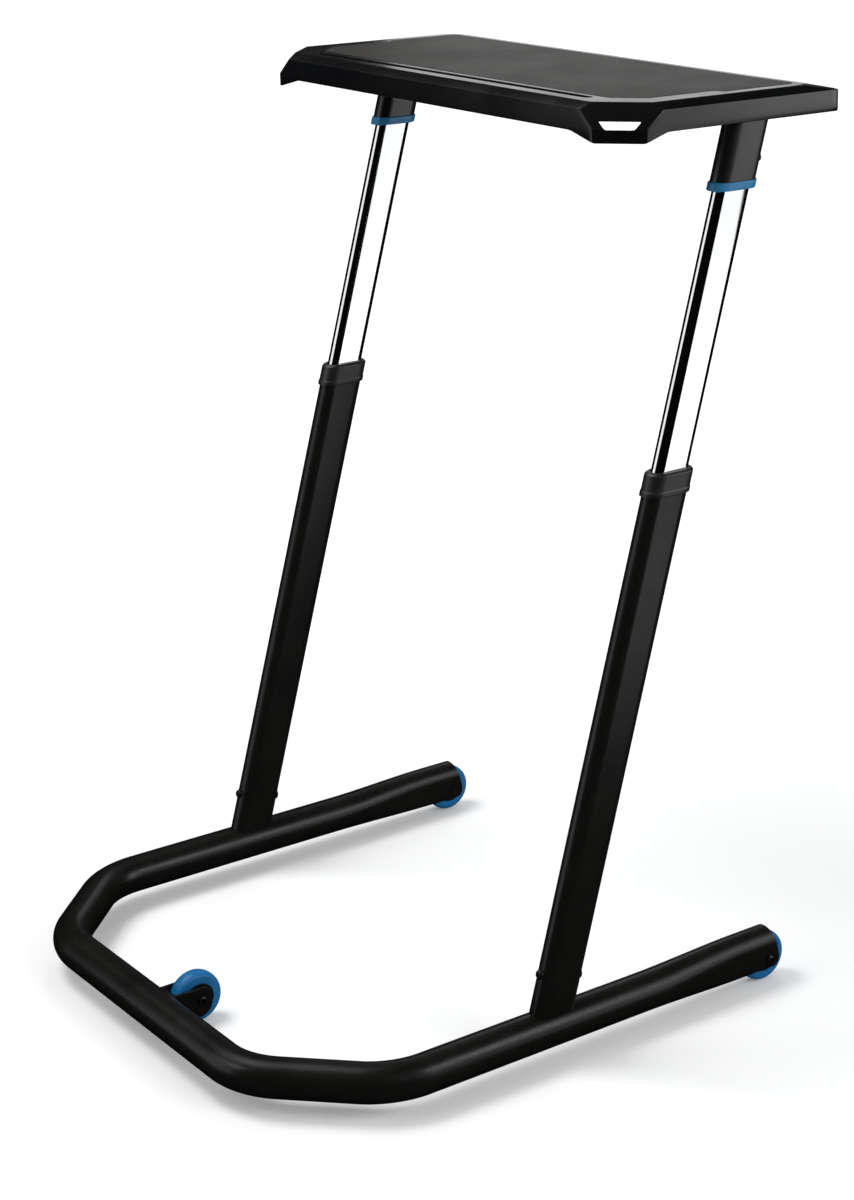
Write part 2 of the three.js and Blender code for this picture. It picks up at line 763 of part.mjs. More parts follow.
function deskRing(inset, riderInset, corner, height) {
  const half = deskWidth / 2 - inset;
  const front = deskFront + inset;
  const back = deskBack - riderInset;
  const ring = [new THREE.Vector3(-half, front, height), new THREE.Vector3(half, front, height)];
  for (const [side, start] of [[1, 0], [-1, Math.PI / 2]]) {
    for (let i = 0; i <= cornerSteps; i += 1) {
      const angle = start + (Math.PI / 2) * (i / cornerSteps);
      ring.push(new THREE.Vector3(
        side * (half - corner) + corner * Math.cos(angle),
        back - corner + corner * Math.sin(angle),
        height,
      ));
    }
  }
  return ring;
}

// Cut over a front corner, upright at the lip and sloping above it: drawn in a vertical plane along
// the corner's diagonal
function cornerWedge(side, inward) {
  const bend = lipBottom + lipUpright;
  const slope = (rimCut - lipCut) / (deskHeight - bend);
  const at = (z) => -(lipCut + Math.max(0, z - bend) * slope) / Math.SQRT2 - inward;
  const low = lipBottom - 2 * overrun;
  const high = deskHeight + overrun;
  const shape = outline([
    [at(low), low],
    [rimCut, low],
    [rimCut, high],
    [at(high), high],
    [at(bend), bend],
  ]);
  const out = new THREE.Vector3(side * Math.SQRT1_2, -Math.SQRT1_2, 0);
  const up = new THREE.Vector3(0, 0, 1);
  const along = new THREE.Vector3().crossVectors(out, up);
  const length = 4 * rimCut;
  const turn = new THREE.Matrix4().makeBasis(out, up, along);
  const wedge = extrude(shape, length).translate(0, 0, -length / 2).applyMatrix4(turn);
  return wedge.translate((side * deskWidth) / 2, deskFront, 0);
}

// Trapezoid slot through the corner's facet, above the lip that closes it
function cornerSlot(side) {
  const z = lipBottom + slotBase;
  const shape = outline([
    [-slotBottomWidth / 2, z],
    [slotBottomWidth / 2, z],
    [slotTopWidth / 2, z + slotRise],
    [-slotTopWidth / 2, z + slotRise],
  ]);
  const out = new THREE.Vector3(side * Math.SQRT1_2, -Math.SQRT1_2, 0);
  const up = new THREE.Vector3(0, 0, 1);
  const across = new THREE.Vector3().crossVectors(up, out);
  const turn = new THREE.Matrix4().makeBasis(across, up, out);
  const slot = extrude(shape, rimCut).translate(0, 0, -rimCut).applyMatrix4(turn);
  return slot.translate((side * deskWidth) / 2, deskFront, 0);
}

// What is cut away below the fascia, so that only the front corners hang down
function underReliefs() {
  const half = deskWidth / 2;
  const low = lipBottom - overrun;
  const front = outline([
    [-half + droopFront, deskBottom],
    [-half + lipCut, lipBottom],
    [-half + lipCut, low],
    [half - lipCut, low],
    [half - lipCut, lipBottom],
    [half - droopFront, deskBottom],
  ]);
  const side = outline([
    [deskFront + droopSide, deskBottom],
    [deskFront + lipCut, lipBottom],
    [deskFront + lipCut, low],
    [deskBack + overrun, low],
    [deskBack + overrun, deskBottom],
  ]);
  const deep = deskDepth + 2 * overrun;
  return [
    extrudeDeep(front, deep).translate(0, deskFront + deskDepth / 2, 0),
    extrudeAcross(side, deskWidth + 2 * overrun),
  ];
}

// Plan of the mat: narrow at the front, a small step, then wider, with cut front corners
function matShape(grow) {
  const half = deskWidth / 2;
  const narrow = half - matNarrowInset + grow;
  const wide = half - matWideInset + grow;
  const front = deskFront + matFront - grow;
  const back = deskBack - matRider + grow;
  const step = deskFront + matStep;
  const shape = new THREE.Shape();
  shape.moveTo(-narrow + matCut, front);
  shape.lineTo(narrow - matCut, front);
  shape.lineTo(narrow, front + matCut);
  shape.lineTo(narrow, step);
  shape.lineTo(wide, step + matStepRun);
  shape.absarc(wide - matCorner, back - matCorner, matCorner, 0, Math.PI / 2, false);
  shape.absarc(-wide + matCorner, back - matCorner, matCorner, Math.PI / 2, Math.PI, false);
  shape.lineTo(-wide, step + matStepRun);
  shape.lineTo(-narrow, step);
  shape.lineTo(-narrow, front + matCut);
  shape.closePath();
  return shape;
}

function grooveShape(width, length) {
  const reach = (length - width) / 2;
  const shape = new THREE.Shape();
  shape.absarc(reach, 0, width / 2, -Math.PI / 2, Math.PI / 2, false);
  shape.absarc(-reach, 0, width / 2, Math.PI / 2, (3 * Math.PI) / 2, false);
  shape.closePath();
  return shape;
}

function deskScrewPlaces(side) {
  return railPlaces.map((y) => [side * (deskWidth / 2 - deskScrewInset), deskFront + y]);
}

function deskScrewBores(side) {
  const bite = deckUnder + deskScrewBite + seatGap;
  return deskScrewPlaces(side).map(([x, y]) => alongZ(cylinder(deskScrewRadius + seatGap, 0, bite, 12))
    .translate(x, y, 0));
}

function rail(index) {
  const y = deskFront + railPlaces[index];
  const [half, reach] = [railWidth / 2, deskWidth / 2 - railInset];
  const blank = box(-reach, reach, y - half, y + half, railTop - railHeight, railTop);
  const bore = box(
    -reach - overrun,
    reach + overrun,
    y - half + railWall,
    y + half - railWall,
    railTop - railHeight + railWall,
    railTop - railWall,
  );
  return cut(makeSolid(blank), [bore, ...deskScrewBores(-1), ...deskScrewBores(1)]);
}

function desktopShell() {
  const body = makeSolid(loft([
    deskRing(0, 0, fasciaCorner, lipBottom),
    deskRing(0, 0, fasciaCorner, fasciaTop),
    deskRing(bevelInset, riderBevel, rimCorner, deskHeight),
  ]));
  const share = cavityBevelShare;
  const cavity = makeSolid(loft([
    deskRing(shellWall, shellWall, fasciaCorner - shellWall, lipBottom - overrun),
    deskRing(shellWall, shellWall, fasciaCorner - shellWall, fasciaTop - cavityDrop),
    deskRing(share * bevelInset, share * riderBevel, share * rimCorner, deckUnder),
  ]));
  const hollow = cut(cavity, [cornerWedge(-1, facetWall), cornerWedge(1, facetWall)]);
  const grooveY = deskFront + grooveFront + grooveWidth / 2;
  const trough = extrude(
    grooveShape(grooveWidth + 2 * troughWall, grooveLength + 2 * troughWall),
    grooveDepth + troughWall,
    4,
  ).translate(0, grooveY, deskHeight - grooveDepth - troughWall);
  const ribs = ribShares.map((ribShare) => {
    const x = ribShare * deskWidth;
    const half = ribThickness / 2;
    const [start, end] = [deskFront + shellWall / 2, deskBack - shellWall / 2];
    return makeSolid(box(x - half, x + half, start, end, deckUnder - ribDepth, deckTop));
  });
  const railRooms = railPlaces.map((place) => {
    const y = deskFront + place;
    const room = railWidth / 2 + overrun / 2;
    return box(-deskWidth, deskWidth, y - room, y + room, lipBottom, deckUnder);
  });
  const ribbing = ribs.map((rib) => cut(rib, railRooms).intersect(body));
  const shell = body.subtract(hollow);
  const recess = extrude(matShape(matGap), matRecess + overrun).translate(0, 0, deckTop);
  const groove = extrude(grooveShape(grooveWidth, grooveLength), grooveDepth + overrun, 4)
    .translate(0, grooveY, deskHeight - grooveDepth);
  return cut(union([shell, makeSolid(trough), ...ribbing]), [
    ...underReliefs(),
    cornerWedge(-1, 0),
    cornerWedge(1, 0),
    cornerSlot(-1),
    cornerSlot(1),
    recess,
    groove,
    ...deskScrewBores(-1),
    ...deskScrewBores(1),
  ]);
}

function desktopMat() {
  return makeSolid(extrude(matShape(0), matThickness, 5).translate(0, 0, deckTop));
}

function deskScrew(x, y) {
  const head = railTop - railHeight - seatGap;
  const tip = deckUnder + deskScrewBite;
  const profile = [
    [0, head - deskScrewHeadHeight],
    [deskScrewRadius, head - deskScrewHeadHeight],
    [deskScrewHead, head - deskScrewHeadHeight / 2],
    [deskScrewHead, head],
    [deskScrewRadius, head],
    [deskScrewRadius, tip],
    [0, tip],
  ];
  return makeSolid(alongZ(revolve(profile, 12)).translate(x, y, 0));
}

// Release and lock

function releaseLever(side) {
  const inward = (u) => -side * u;
  const half = leverThickness / 2;
  const arm = new THREE.Shape();
  arm.absarc(inward(0), 0, leverNose, 0, 2 * Math.PI, false);
  const nose = extrudeDeep(arm, leverWidth, 12).translate(0, 0, leverAlong);
  const x = [inward(0), inward(leverReach - paddleCorner)];
  const bar = box(
    Math.min(...x),
    Math.max(...x),
    -leverWidth / 2,
    leverWidth / 2,
    leverAlong - half,
    leverAlong + half,
  );
  const from = paddleStart + paddleCorner;
  const to = leverReach - paddleCorner;
  const flat = new THREE.Shape();
  const [a, b] = [Math.min(inward(from), inward(to)), Math.max(inward(from), inward(to))];
  const y = paddleWidth / 2 - paddleCorner;
  flat.absarc(b, y, paddleCorner, 0, Math.PI / 2, false);
  flat.absarc(a, y, paddleCorner, Math.PI / 2, Math.PI, false);
  flat.absarc(a, -y, paddleCorner, Math.PI, (3 * Math.PI) / 2, false);
  flat.absarc(b, -y, paddleCorner, (3 * Math.PI) / 2, 2 * Math.PI, false);
  const paddle = extrude(flat, leverThickness, 4).translate(0, 0, leverAlong - half);
  const bore = cylinder(pinRadius + runGap, -leverWidth, leverWidth, 12);
  return cut(union([makeSolid(nose), makeSolid(bar), makeSolid(paddle)]), [
    bore.translate(inward(leverPivot), 0, leverAlong),
  ]);
}

function leverPin(side) {
  const reach = leverWidth / 2 + runGap + earThickness + seatGap;
  const profile = [
    [0, -reach - pinHeadHeight],
    [pinHead, -reach - pinHeadHeight],
    [pinHead, -reach],
    [pinRadius, -reach],
    [pinRadius, reach],
    [pinHead, reach],
    [pinHead, reach + pinHeadHeight],
    [0, reach + pinHeadHeight],
  ];
  return makeSolid(revolve(profile, 12).translate(-side * leverPivot, 0, leverAlong));
}

// Rod with its push button at the top and the wedge at its foot
function pullRod() {
  const top = leverAlong - leverNose - seatGap;
  const wedgeTop = glideBottom + wedgeFoot + wedgeHeight;
  const profile = [
    [0, wedgeTop],
    [rodRadius, wedgeTop],
    [rodRadius, top - rodHeadHeight],
    [rodHead, top - rodHeadHeight],
    [rodHead, top],
    [0, top],
  ];
  return makeSolid(alongZ(revolve(profile, 12)));
}

function lockWedge() {
  const bottom = glideBottom + wedgeFoot;
  const top = bottom + wedgeHeight - seatGap;
  const shape = outline([[-wedgeWide, bottom], [wedgeBack, bottom], [wedgeBack, top], [-wedgeNarrow, top]]);
  return makeSolid(extrudeAcross(shape, wedgeWidth));
}

// Front face of the wedge at a height along the post
function wedgeFace(height) {
  const share = (height - glideBottom - wedgeFoot) / wedgeHeight;
  return -THREE.MathUtils.lerp(wedgeWide, wedgeNarrow, share);
}

function brakeShoe() {
  const middle = glideBottom + wedgeFoot + wedgeHeight / 2;
  const [low, high] = [middle - shoeHeight / 2, middle + shoeHeight / 2];
  const shape = outline([
    [-outerDepth, low],
    [wedgeFace(low) - seatGap, low],
    [wedgeFace(high) - seatGap, high],
    [-outerDepth, high],
  ]);
  const slack = 2 * (outerWall + runGap);
  const limit = makeSolid(ovalBar(outerWidth - slack, outerDepth - slack, low - overrun, high + overrun));
  return makeSolid(extrudeAcross(shape, wedgeWidth)).intersect(limit);
}

// Guide block on the inner post's lower end, open below, with a window for the shoe
function postGlide() {
  const slack = 2 * (outerWall + runGap);
  const top = glideBottom + glideLength;
  const block = makeSolid(ovalBar(outerWidth - slack, outerDepth - slack, glideBottom, top));
  const plugSlack = 2 * (innerWall + seatGap);
  const plugSize = [innerWidth - plugSlack, innerDepth - plugSlack];
  const plug = makeSolid(ovalBar(plugSize[0], plugSize[1], top - overrun, top + glidePlug));
  const half = wedgeWidth / 2 + runGap;
  const middle = glideBottom + wedgeFoot + wedgeHeight / 2;
  const low = middle - shoeHeight / 2 - runGap;
  const high = middle + shoeHeight / 2 + runGap;
  const roomTop = glideBottom + wedgeFoot + wedgeHeight + runGap;
  return cut(block.add(plug), [
    box(-half, half, -wedgeWide - runGap, wedgeBack + runGap, glideBottom - overrun, roomTop),
    box(-half, half, -outerDepth, 0, low, high),
    alongZ(cylinder(rodRadius + runGap, glideBottom, top + glidePlug + overrun, 12)),
  ]);
}

for (const [name, side] of Object.entries(sides)) {
  const post = posts[name];
  addPiece(post, `${name}_post_stub`, postStub(), 'blackSteel');
  addPiece(post, `${name}_outer_post`, outerPost(), 'blackSteel');
  addPiece(post, `${name}_foot_bolt`, footBolt(), 'zincBolt');
  addPiece(post, `${name}_foot_nut`, footNut(), 'zincBolt');
  addPiece(post, `${name}_post_collar`, postCollar(), 'blackPlastic');
  addPiece(post, `${name}_inner_post`, innerPost(), 'chrome');
  addPiece(post, `${name}_post_glide`, postGlide(), 'glide');
  addPiece(post, `${name}_trim_ring`, trimRing(), 'blueTrim');
  addPiece(post, `${name}_bracket_screw`, bracketScrew(), 'zincBolt');
  addPiece(post, `${name}_release_lever`, releaseLever(side), 'blackPlastic');
  addPiece(post, `${name}_lever_pin`, leverPin(side), 'steel');
  addPiece(post, `${name}_release_rod`, pullRod(), 'steel');
  addPiece(post, `${name}_lock_wedge`, lockWedge(), 'steel');
  addPiece(post, `${name}_brake_shoe`, brakeShoe(), 'brake');
  addPiece(root, `${name}_top_bracket`, topBracket(side), 'castBlack');
  deskScrewPlaces(side).forEach(([x, y], index) => {
    addPiece(root, `${name}_desk_screw_${index + 1}`, deskScrew(x, y), 'zincBolt');
  });
}
addPiece(root, 'front_desk_rail', rail(0), 'blackSteel');
addPiece(root, 'rear_desk_rail', rail(1), 'blackSteel');
addPiece(root, 'desktop_shell', desktopShell(), 'tray');
addPiece(root, 'desktop_mat', desktopMat(), 'mat');

export default root;
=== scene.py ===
"""Looks of a height-adjustable desk on a wheeled U-shaped base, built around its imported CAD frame.

Shapes are worked out in millimetres in the frame's own axes: X across the desk, Y from the cross bar
towards the rider, Z up. They are turned to metres when a mesh is made.
"""

import logging
import math
from dataclasses import dataclass, field
from enum import Enum
from typing import Iterable, Mapping, Optional, Sequence, Union

import bmesh
import bpy
import numpy as np
from mathutils import Matrix, Vector


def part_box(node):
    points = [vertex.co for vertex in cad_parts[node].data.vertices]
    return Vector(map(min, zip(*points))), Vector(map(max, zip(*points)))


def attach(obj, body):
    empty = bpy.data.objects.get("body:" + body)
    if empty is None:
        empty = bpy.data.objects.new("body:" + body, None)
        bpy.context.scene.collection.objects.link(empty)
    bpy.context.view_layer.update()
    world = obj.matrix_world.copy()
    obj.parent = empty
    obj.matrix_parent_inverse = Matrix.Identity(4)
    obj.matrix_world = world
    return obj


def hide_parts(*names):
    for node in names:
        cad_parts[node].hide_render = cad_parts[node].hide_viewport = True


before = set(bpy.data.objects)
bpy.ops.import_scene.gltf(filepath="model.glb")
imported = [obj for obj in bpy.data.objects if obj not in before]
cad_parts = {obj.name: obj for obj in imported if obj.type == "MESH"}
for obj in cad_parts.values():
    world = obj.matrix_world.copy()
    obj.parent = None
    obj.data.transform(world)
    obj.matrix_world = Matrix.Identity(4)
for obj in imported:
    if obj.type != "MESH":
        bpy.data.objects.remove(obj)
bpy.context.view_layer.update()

LOG = logging.getLogger("desk")
MM = 0.001
SIDES: dict[str, int] = {"left": -1, "right": 1}
POST_LEAN_DEG = 15.7
FULL_TURN = 2 * np.pi

# Points closer than this are one, in metres: on a new skin, and on a CAD node's loose triangles
SKIN_MERGE, CAD_MERGE = 2e-6, 5e-6
# A rounded corner takes at most this share of a side, so that neighbours never meet
SIDE_SHARE = 0.49

# How softly raised cells run into each other
CELL_SMOOTHNESS = 0.6
# How fast drawn lines change along the piece, as a share of how fast they change across it
DRAWN_SHARE = 0.02
# Weight of a grain's finer layers
GRAIN_WEIGHT = 0.55
# Patches of colour and gloss: finer layers, their weight, and the span that the noise keeps to
PATCH_LAYERS, PATCH_WEIGHT, PATCH_LOW, PATCH_HIGH = 5.0, 0.6, 0.3, 0.7
# How much a grain's height adds to the lighter colour's share: painted shade, darker in the grain's hollows
# and lighter on its tops
GRAIN_HOLLOW_SHADE = 0.25
LEAST_ROUGHNESS = 0.02

Pair = tuple[float, float]
NodeKey = Union[str, int]
NodeSetting = Union[float, str, bool, tuple]


def box_mm(node: str) -> tuple[np.ndarray, np.ndarray]:
    """Lowest and highest corner of a CAD node's box, in millimetres."""
    low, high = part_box(node)[:2]
    return np.array(low) / MM, np.array(high) / MM


def points_mm(node: str) -> np.ndarray:
    """Reads every point of a CAD node.

    Args:
        node: the CAD node.

    Returns:
        Its points in millimetres.
    """
    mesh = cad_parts[node].data
    points = np.empty(len(mesh.vertices) * 3)
    mesh.vertices.foreach_get("co", points)
    return points.reshape(-1, 3) / MM


def linear(hex_colour: str) -> tuple[float, float, float, float]:
    """Turns an sRGB hex colour to the linear one that shaders take.

    Args:
        hex_colour: six hex digits.

    Returns:
        Linear red, green, blue and an alpha of 1.
    """
    parts = np.array([int(hex_colour[i : i + 2], 16) for i in (0, 2, 4)]) / 255
    lit = np.where(parts <= 0.04045, parts / 12.92, ((parts + 0.055) / 1.055) ** 2.4)
    return (float(lit[0]), float(lit[1]), float(lit[2]), 1.0)


def add_node(
    tree: bpy.types.NodeTree,
    kind: str,
    settings: Optional[Mapping[NodeKey, NodeSetting]] = None,
    links: Optional[Mapping[NodeKey, bpy.types.NodeSocket]] = None,
) -> bpy.types.Node:
    """Adds one shader node.

    Args:
        tree: the node tree that gets it.
        kind: the node's type, without its ShaderNode prefix.
        settings: values by property name, or by input name or number.
        links: sockets that feed inputs, by input name or number.

    Returns:
        The new node.
    """
    node = tree.nodes.new(f"ShaderNode{kind}")
    for key, value in (settings or {}).items():
        if isinstance(key, str) and hasattr(node, key):
            setattr(node, key, value)
        else:
            node.inputs[key].default_value = value
    for key, socket in (links or {}).items():
        tree.links.new(socket, node.inputs[key])
    return node


def bare_material(name: str) -> tuple[bpy.types.Material, bpy.types.NodeTree]:
    """Makes a material that has no nodes yet.

    Args:
        name: the material's name.

    Returns:
        The material and its node tree.
    """
    material = bpy.data.materials.new(name)
    material.use_nodes = True
    material.node_tree.nodes.clear()
    return material, material.node_tree


def placed(name: str, data: bpy.types.ID) -> bpy.types.Object:
    """Makes an object of a mesh, lamp or camera and links it into the scene.

    Args:
        name: the object's name.
        data: what it shows.

    Returns:
        The object.
    """
    thing = bpy.data.objects.new(name, data)
    bpy.context.scene.collection.objects.link(thing)
    return thing


class Grain(Enum):
    """How a surface is broken up close to. Each value is how many finer layers its noise adds."""

    PEBBLE = 0.0  # small raised cells
    PEEL = 1.0  # soft waves of powder coat
    DRAWN = 3.0  # fine lines along the piece
    CAST = 4.0  # sand-like lumps
    SPARK = 6.0  # spark-eroded mould texture


@dataclass(frozen=True)
class Finish:
    """One real finish: its colours, its gloss and its grain in millimetres."""

    name: str
    slot: str
    colour: str
    shade: str
    roughness: float
    grain: Grain
    grain_mm: float
    relief_mm: float
    metallic: float = 0.0
    ior: float = 1.5
    patch_mm: float = 70.0
    roughness_spread: float = 0.05
    turn_deg: float = 0.0

    def height(self, tree: bpy.types.NodeTree, place: bpy.types.NodeSocket) -> bpy.types.NodeSocket:
        """Adds the nodes of the grain.

        Args:
            tree: the material's nodes.
            place: object coordinates in millimetres.

        Returns:
            The socket that holds the grain's height, from 0 to 1.
        """
        scale = 1.0 / self.grain_mm
        if self.grain is Grain.PEBBLE:
            cell = {"feature": "SMOOTH_F1", "Scale": scale, "Smoothness": CELL_SMOOTHNESS}
            edge = add_node(tree, "TexVoronoi", cell, {"Vector": place}).outputs["Distance"]
            return add_node(tree, "Math", {"operation": "SUBTRACT", 0: 1.0}, {1: edge}).outputs[0]
        if self.grain is Grain.DRAWN:
            drawn = add_node(tree, "Mapping", {"Scale": (1.0, 1.0, DRAWN_SHARE)}, {"Vector": place})
            place = drawn.outputs["Vector"]
        noise = {"Scale": scale, "Detail": self.grain.value, "Roughness": GRAIN_WEIGHT}
        return add_node(tree, "TexNoise", noise, {"Vector": place}).outputs["Fac"]

    def make(self) -> bpy.types.Material:
        """Makes the material, once for each finish.

        Returns:
            The material, in which colour and gloss drift over patches, the grain's hollows get painted shade
            and the grain bends the light.
        """
        if self.name in bpy.data.materials:
            return bpy.data.materials[self.name]
        material, tree = bare_material(self.name)
        where = add_node(tree, "TexCoord").outputs["Object"]
        to_mm = {"Scale": (1 / MM, 1 / MM, 1 / MM), "Rotation": (math.radians(self.turn_deg), 0.0, 0.0)}
        place = add_node(tree, "Mapping", to_mm, {"Vector": where}).outputs["Vector"]
        height = self.height(tree, place)
        patches = {"Scale": 1.0 / self.patch_mm, "Detail": PATCH_LAYERS, "Roughness": PATCH_WEIGHT}
        patch = add_node(tree, "TexNoise", patches, {"Vector": place}).outputs["Fac"]
        # The colour's share is the finish's own patches plus painted shade that follows the grain's height
        patch_and_hollow_shade = {"operation": "MULTIPLY_ADD", "use_clamp": True, 1: GRAIN_HOLLOW_SHADE}
        share = add_node(tree, "Math", patch_and_hollow_shade, {0: height, 2: patch}).outputs[0]
        shades = {"data_type": "RGBA", 6: linear(self.shade), 7: linear(self.colour)}
        colour = add_node(tree, "Mix", shades, {0: share}).outputs[2]
        span = {
            "From Min": PATCH_LOW,
            "From Max": PATCH_HIGH,
            "To Min": max(LEAST_ROUGHNESS, self.roughness - self.roughness_spread),
            "To Max": min(1.0, self.roughness + self.roughness_spread),
        }
        gloss = add_node(tree, "MapRange", span, {"Value": patch}).outputs["Result"]
        relief = {"Strength": 1.0, "Distance": self.relief_mm * MM}
        bump = add_node(tree, "Bump", relief, {"Height": height}).outputs["Normal"]
        shader = add_node(
            tree,
            "BsdfPrincipled",
            {"Metallic": self.metallic, "IOR": self.ior},
            {"Base Color": colour, "Roughness": gloss, "Normal": bump},
        )
        add_node(tree, "OutputMaterial", {}, {"Surface": shader.outputs["BSDF"]})
        return material


# Polyester powder coat on steel, baked: near black, with a satin sheen that rolls in soft waves
POWDER_COAT = Finish(
    "black_powder_coat", "base_frame_paint", "12110f", "0b0a09", 0.29, Grain.PEEL, 2.4, 0.03, ior=1.36
)
# Bright chrome plate on drawn steel tube: a mirror with the faintest lines left by polishing along it
CHROME_PLATE = Finish(
    "polished_chrome_plate", "inner_post_chrome", "f3f4f6", "e9ebee", 0.05, Grain.DRAWN, 1.5, 0.002,
    metallic=1.0, roughness_spread=0.015, turn_deg=-POST_LEAN_DEG,
)
# Black zinc plate on steel bolts: dark metal with a soft gleam
BLACK_ZINC = Finish(
    "black_zinc_plate", "fastener_black", "2a2b2c", "1c1d1e", 0.32, Grain.CAST, 0.8, 0.02,
    metallic=0.8, patch_mm=9.0,
)
# Nylon, moulded with a spark-eroded surface: dull black with a fine sparkle
BLACK_NYLON = Finish("moulded_black_nylon", "black_plastic", "141413", "0c0c0b", 0.42, Grain.SPARK, 1.1, 0.04)
# Acrylonitrile butadiene styrene tray, moulded almost smooth: near black, pale where light grazes it
TRAY_ABS = Finish(
    "moulded_charcoal_abs", "desktop_plastic", "0b0c0d", "07080a", 0.22, Grain.SPARK, 1.6, 0.008,
    ior=1.42, patch_mm=110.0,
)
# Ethylene vinyl acetate mat, embossed: dark, and soft grey at a low angle; its cells are drawn 3 mm
# wide, larger than real, so that they show
MAT_FOAM = Finish(
    "embossed_grey_eva", "desktop_mat", "23211d", "1b1a17", 0.5, Grain.PEBBLE, 3.0, 0.12,
    ior=1.32, patch_mm=140.0,
)
# Acrylonitrile butadiene styrene ring, moulded and coloured through: clear blue with a satin gloss
BLUE_RING = Finish(
    "moulded_blue_abs", "blue_trim", "226b95", "1c5f87", 0.34, Grain.SPARK, 1.0, 0.02, ior=1.4, patch_mm=25.0
)
# Cast polyurethane tyre: deep blue, a little waxy, lightly scuffed
BLUE_TYRE = Finish(
    "cast_blue_polyurethane", "blue_tyre", "07669e", "065584", 0.42, Grain.CAST, 2.2, 0.06,
    patch_mm=12.0, roughness_spread=0.1, ior=1.36,
)
# Black paint on a die-cast bracket: glossy over a skin of faint lumps
CAST_PAINT = Finish(
    "painted_casting", "cast_bracket", "11110f", "0a0a09", 0.3, Grain.CAST, 1.2, 0.014, ior=1.55
)
# Bright zinc plate on turned steel: pale grey metal with fine lines
ZINC_STEEL = Finish(
    "bright_zinc_plate", "plain_steel", "a6a9ac", "8d9093", 0.34, Grain.DRAWN, 0.5, 0.01,
    metallic=1.0, patch_mm=10.0,
)
# Nylon without pigment, moulded: milky and dull
NATURAL_NYLON = Finish("natural_nylon", "glide_plastic", "d0cec4", "c2c0b6", 0.5, Grain.SPARK, 1.2, 0.03)
# Friction lining, pressed from fibre and resin: brown and crumbly
BRAKE_LINING = Finish("friction_lining", "brake_lining", "5b4337", "463228", 0.88, Grain.CAST, 0.9, 0.12)


@dataclass
class Skin:
    """Points in millimetres and the faces between them."""

    points: np.ndarray
    faces: list[Sequence[int]]

    def moved(self, matrix: np.ndarray) -> "Skin":
        """Returns the skin carried by a 4 x 4 matrix, in millimetres."""
        full = np.c_[self.points, np.ones(len(self.points))]
        return Skin((full @ matrix.T)[:, :3], self.faces)

    def joined(self, *others: "Skin") -> "Skin":
        """Puts this skin and others together, each still closed by itself.

        Args:
            others: the other skins.

        Returns:
            One skin of them all.
        """
        points, faces, start = [self.points], list(self.faces), len(self.points)
        for other in others:
            points.append(other.points)
            faces += [tuple(i + start for i in face) for face in other.faces]
            start += len(other.points)
        return Skin(np.concatenate(points), faces)


def loft(rings: np.ndarray, closed_rows: bool = False) -> Skin:
    """Joins rings of equal count into a closed skin.

    Ring r, point c is vertex r times the ring's count plus c, and each face takes two neighbours on two
    neighbouring rings. Open rows are closed by a flat face at each end.

    Args:
        rings: array of rings by points by three.
        closed_rows: whether the last ring meets the first one.

    Returns:
        The closed skin.
    """
    rows, columns = rings.shape[:2]
    row = np.arange(rows if closed_rows else rows - 1)[:, None]
    column = np.arange(columns)[None, :]
    after, beside = (row + 1) % rows, (column + 1) % columns
    here, there = row * columns, after * columns
    quads = np.stack([here + column, here + beside, there + beside, there + column], -1).reshape(-1, 4)
    faces: list[Sequence[int]] = [tuple(quad) for quad in quads.tolist()]
    if not closed_rows:
        faces.append(tuple(range(columns - 1, -1, -1)))
        faces.append(tuple(range((rows - 1) * columns, rows * columns)))
    return Skin(rings.reshape(-1, 3), faces)


def revolve(profile: np.ndarray, centre: np.ndarray, steps: int) -> Skin:
    """Turns a closed profile of (radius, place along X) round an axis along X.

    A point is the centre plus its place along X, with radius times cosine and sine across.

    Args:
        profile: the closed outline, without its first point repeated.
        centre: the axis's middle.
        steps: points round the axis.

    Returns:
        The closed skin.
    """
    radius, along = profile[:, :1], profile[:, 1:]
    angle = np.linspace(0, FULL_TURN, steps, endpoint=False)
    across = (np.broadcast_to(along, (len(along), steps)), radius * np.cos(angle), radius * np.sin(angle))
    return loft(np.stack(across, -1) + centre, closed_rows=True)


def rectangle(low: Sequence[float], high: Sequence[float]) -> np.ndarray:
    """Corners of a rectangle, anticlockwise from its lowest one."""
    return np.array([(low[0], low[1]), (high[0], low[1]), (high[0], high[1]), (low[0], high[1])], float)


def mirrored(right: Sequence[Pair]) -> list[Pair]:
    """Adds the left half to the right half of an outline, in reverse order."""
    return [*right, *((-x, y) for x, y in reversed(right))]


def rounded(
    corners: Union[np.ndarray, Sequence[Pair]],
    radii: Union[float, Sequence[float]],
    steps: int = 3,
    sides: Optional[Sequence[int]] = None,
) -> np.ndarray:
    """Rounds the corners of a closed outline.

    Each corner becomes a parabola from a point before it to a point after it, each the radius away but
    never past half of the side: (1-t)^2 times the first, 2t(1-t) times the corner, t^2 times the last.

    Args:
        corners: the outline's corners.
        radii: reach of the rounding along the sides, one for all or one for each corner.
        steps: sides of each rounded corner.
        sides: pieces that each straight side is split into, or None for one.

    Returns:
        Points in order, always as many for the same counts.
    """
    corners = np.array(corners, float)
    to_before, to_after = np.roll(corners, 1, 0) - corners, np.roll(corners, -1, 0) - corners
    long_before, long_after = np.linalg.norm(to_before, axis=1), np.linalg.norm(to_after, axis=1)
    start = corners + to_before * (np.minimum(radii, SIDE_SHARE * long_before) / long_before)[:, None]
    end = corners + to_after * (np.minimum(radii, SIDE_SHARE * long_after) / long_after)[:, None]
    t = np.linspace(0, 1, steps + 1)[None, :, None]
    arcs = (1 - t) ** 2 * start[:, None] + 2 * t * (1 - t) * corners[:, None] + t**2 * end[:, None]
    if sides is None:
        return arcs.reshape(-1, 2)
    parts = []
    for index, arc in enumerate(arcs):
        share = np.linspace(0, 1, sides[index] + 1)[1:-1, None]
        parts += [arc, arc[-1] * (1 - share) + arcs[(index + 1) % len(arcs)][0] * share]
    return np.concatenate(parts)


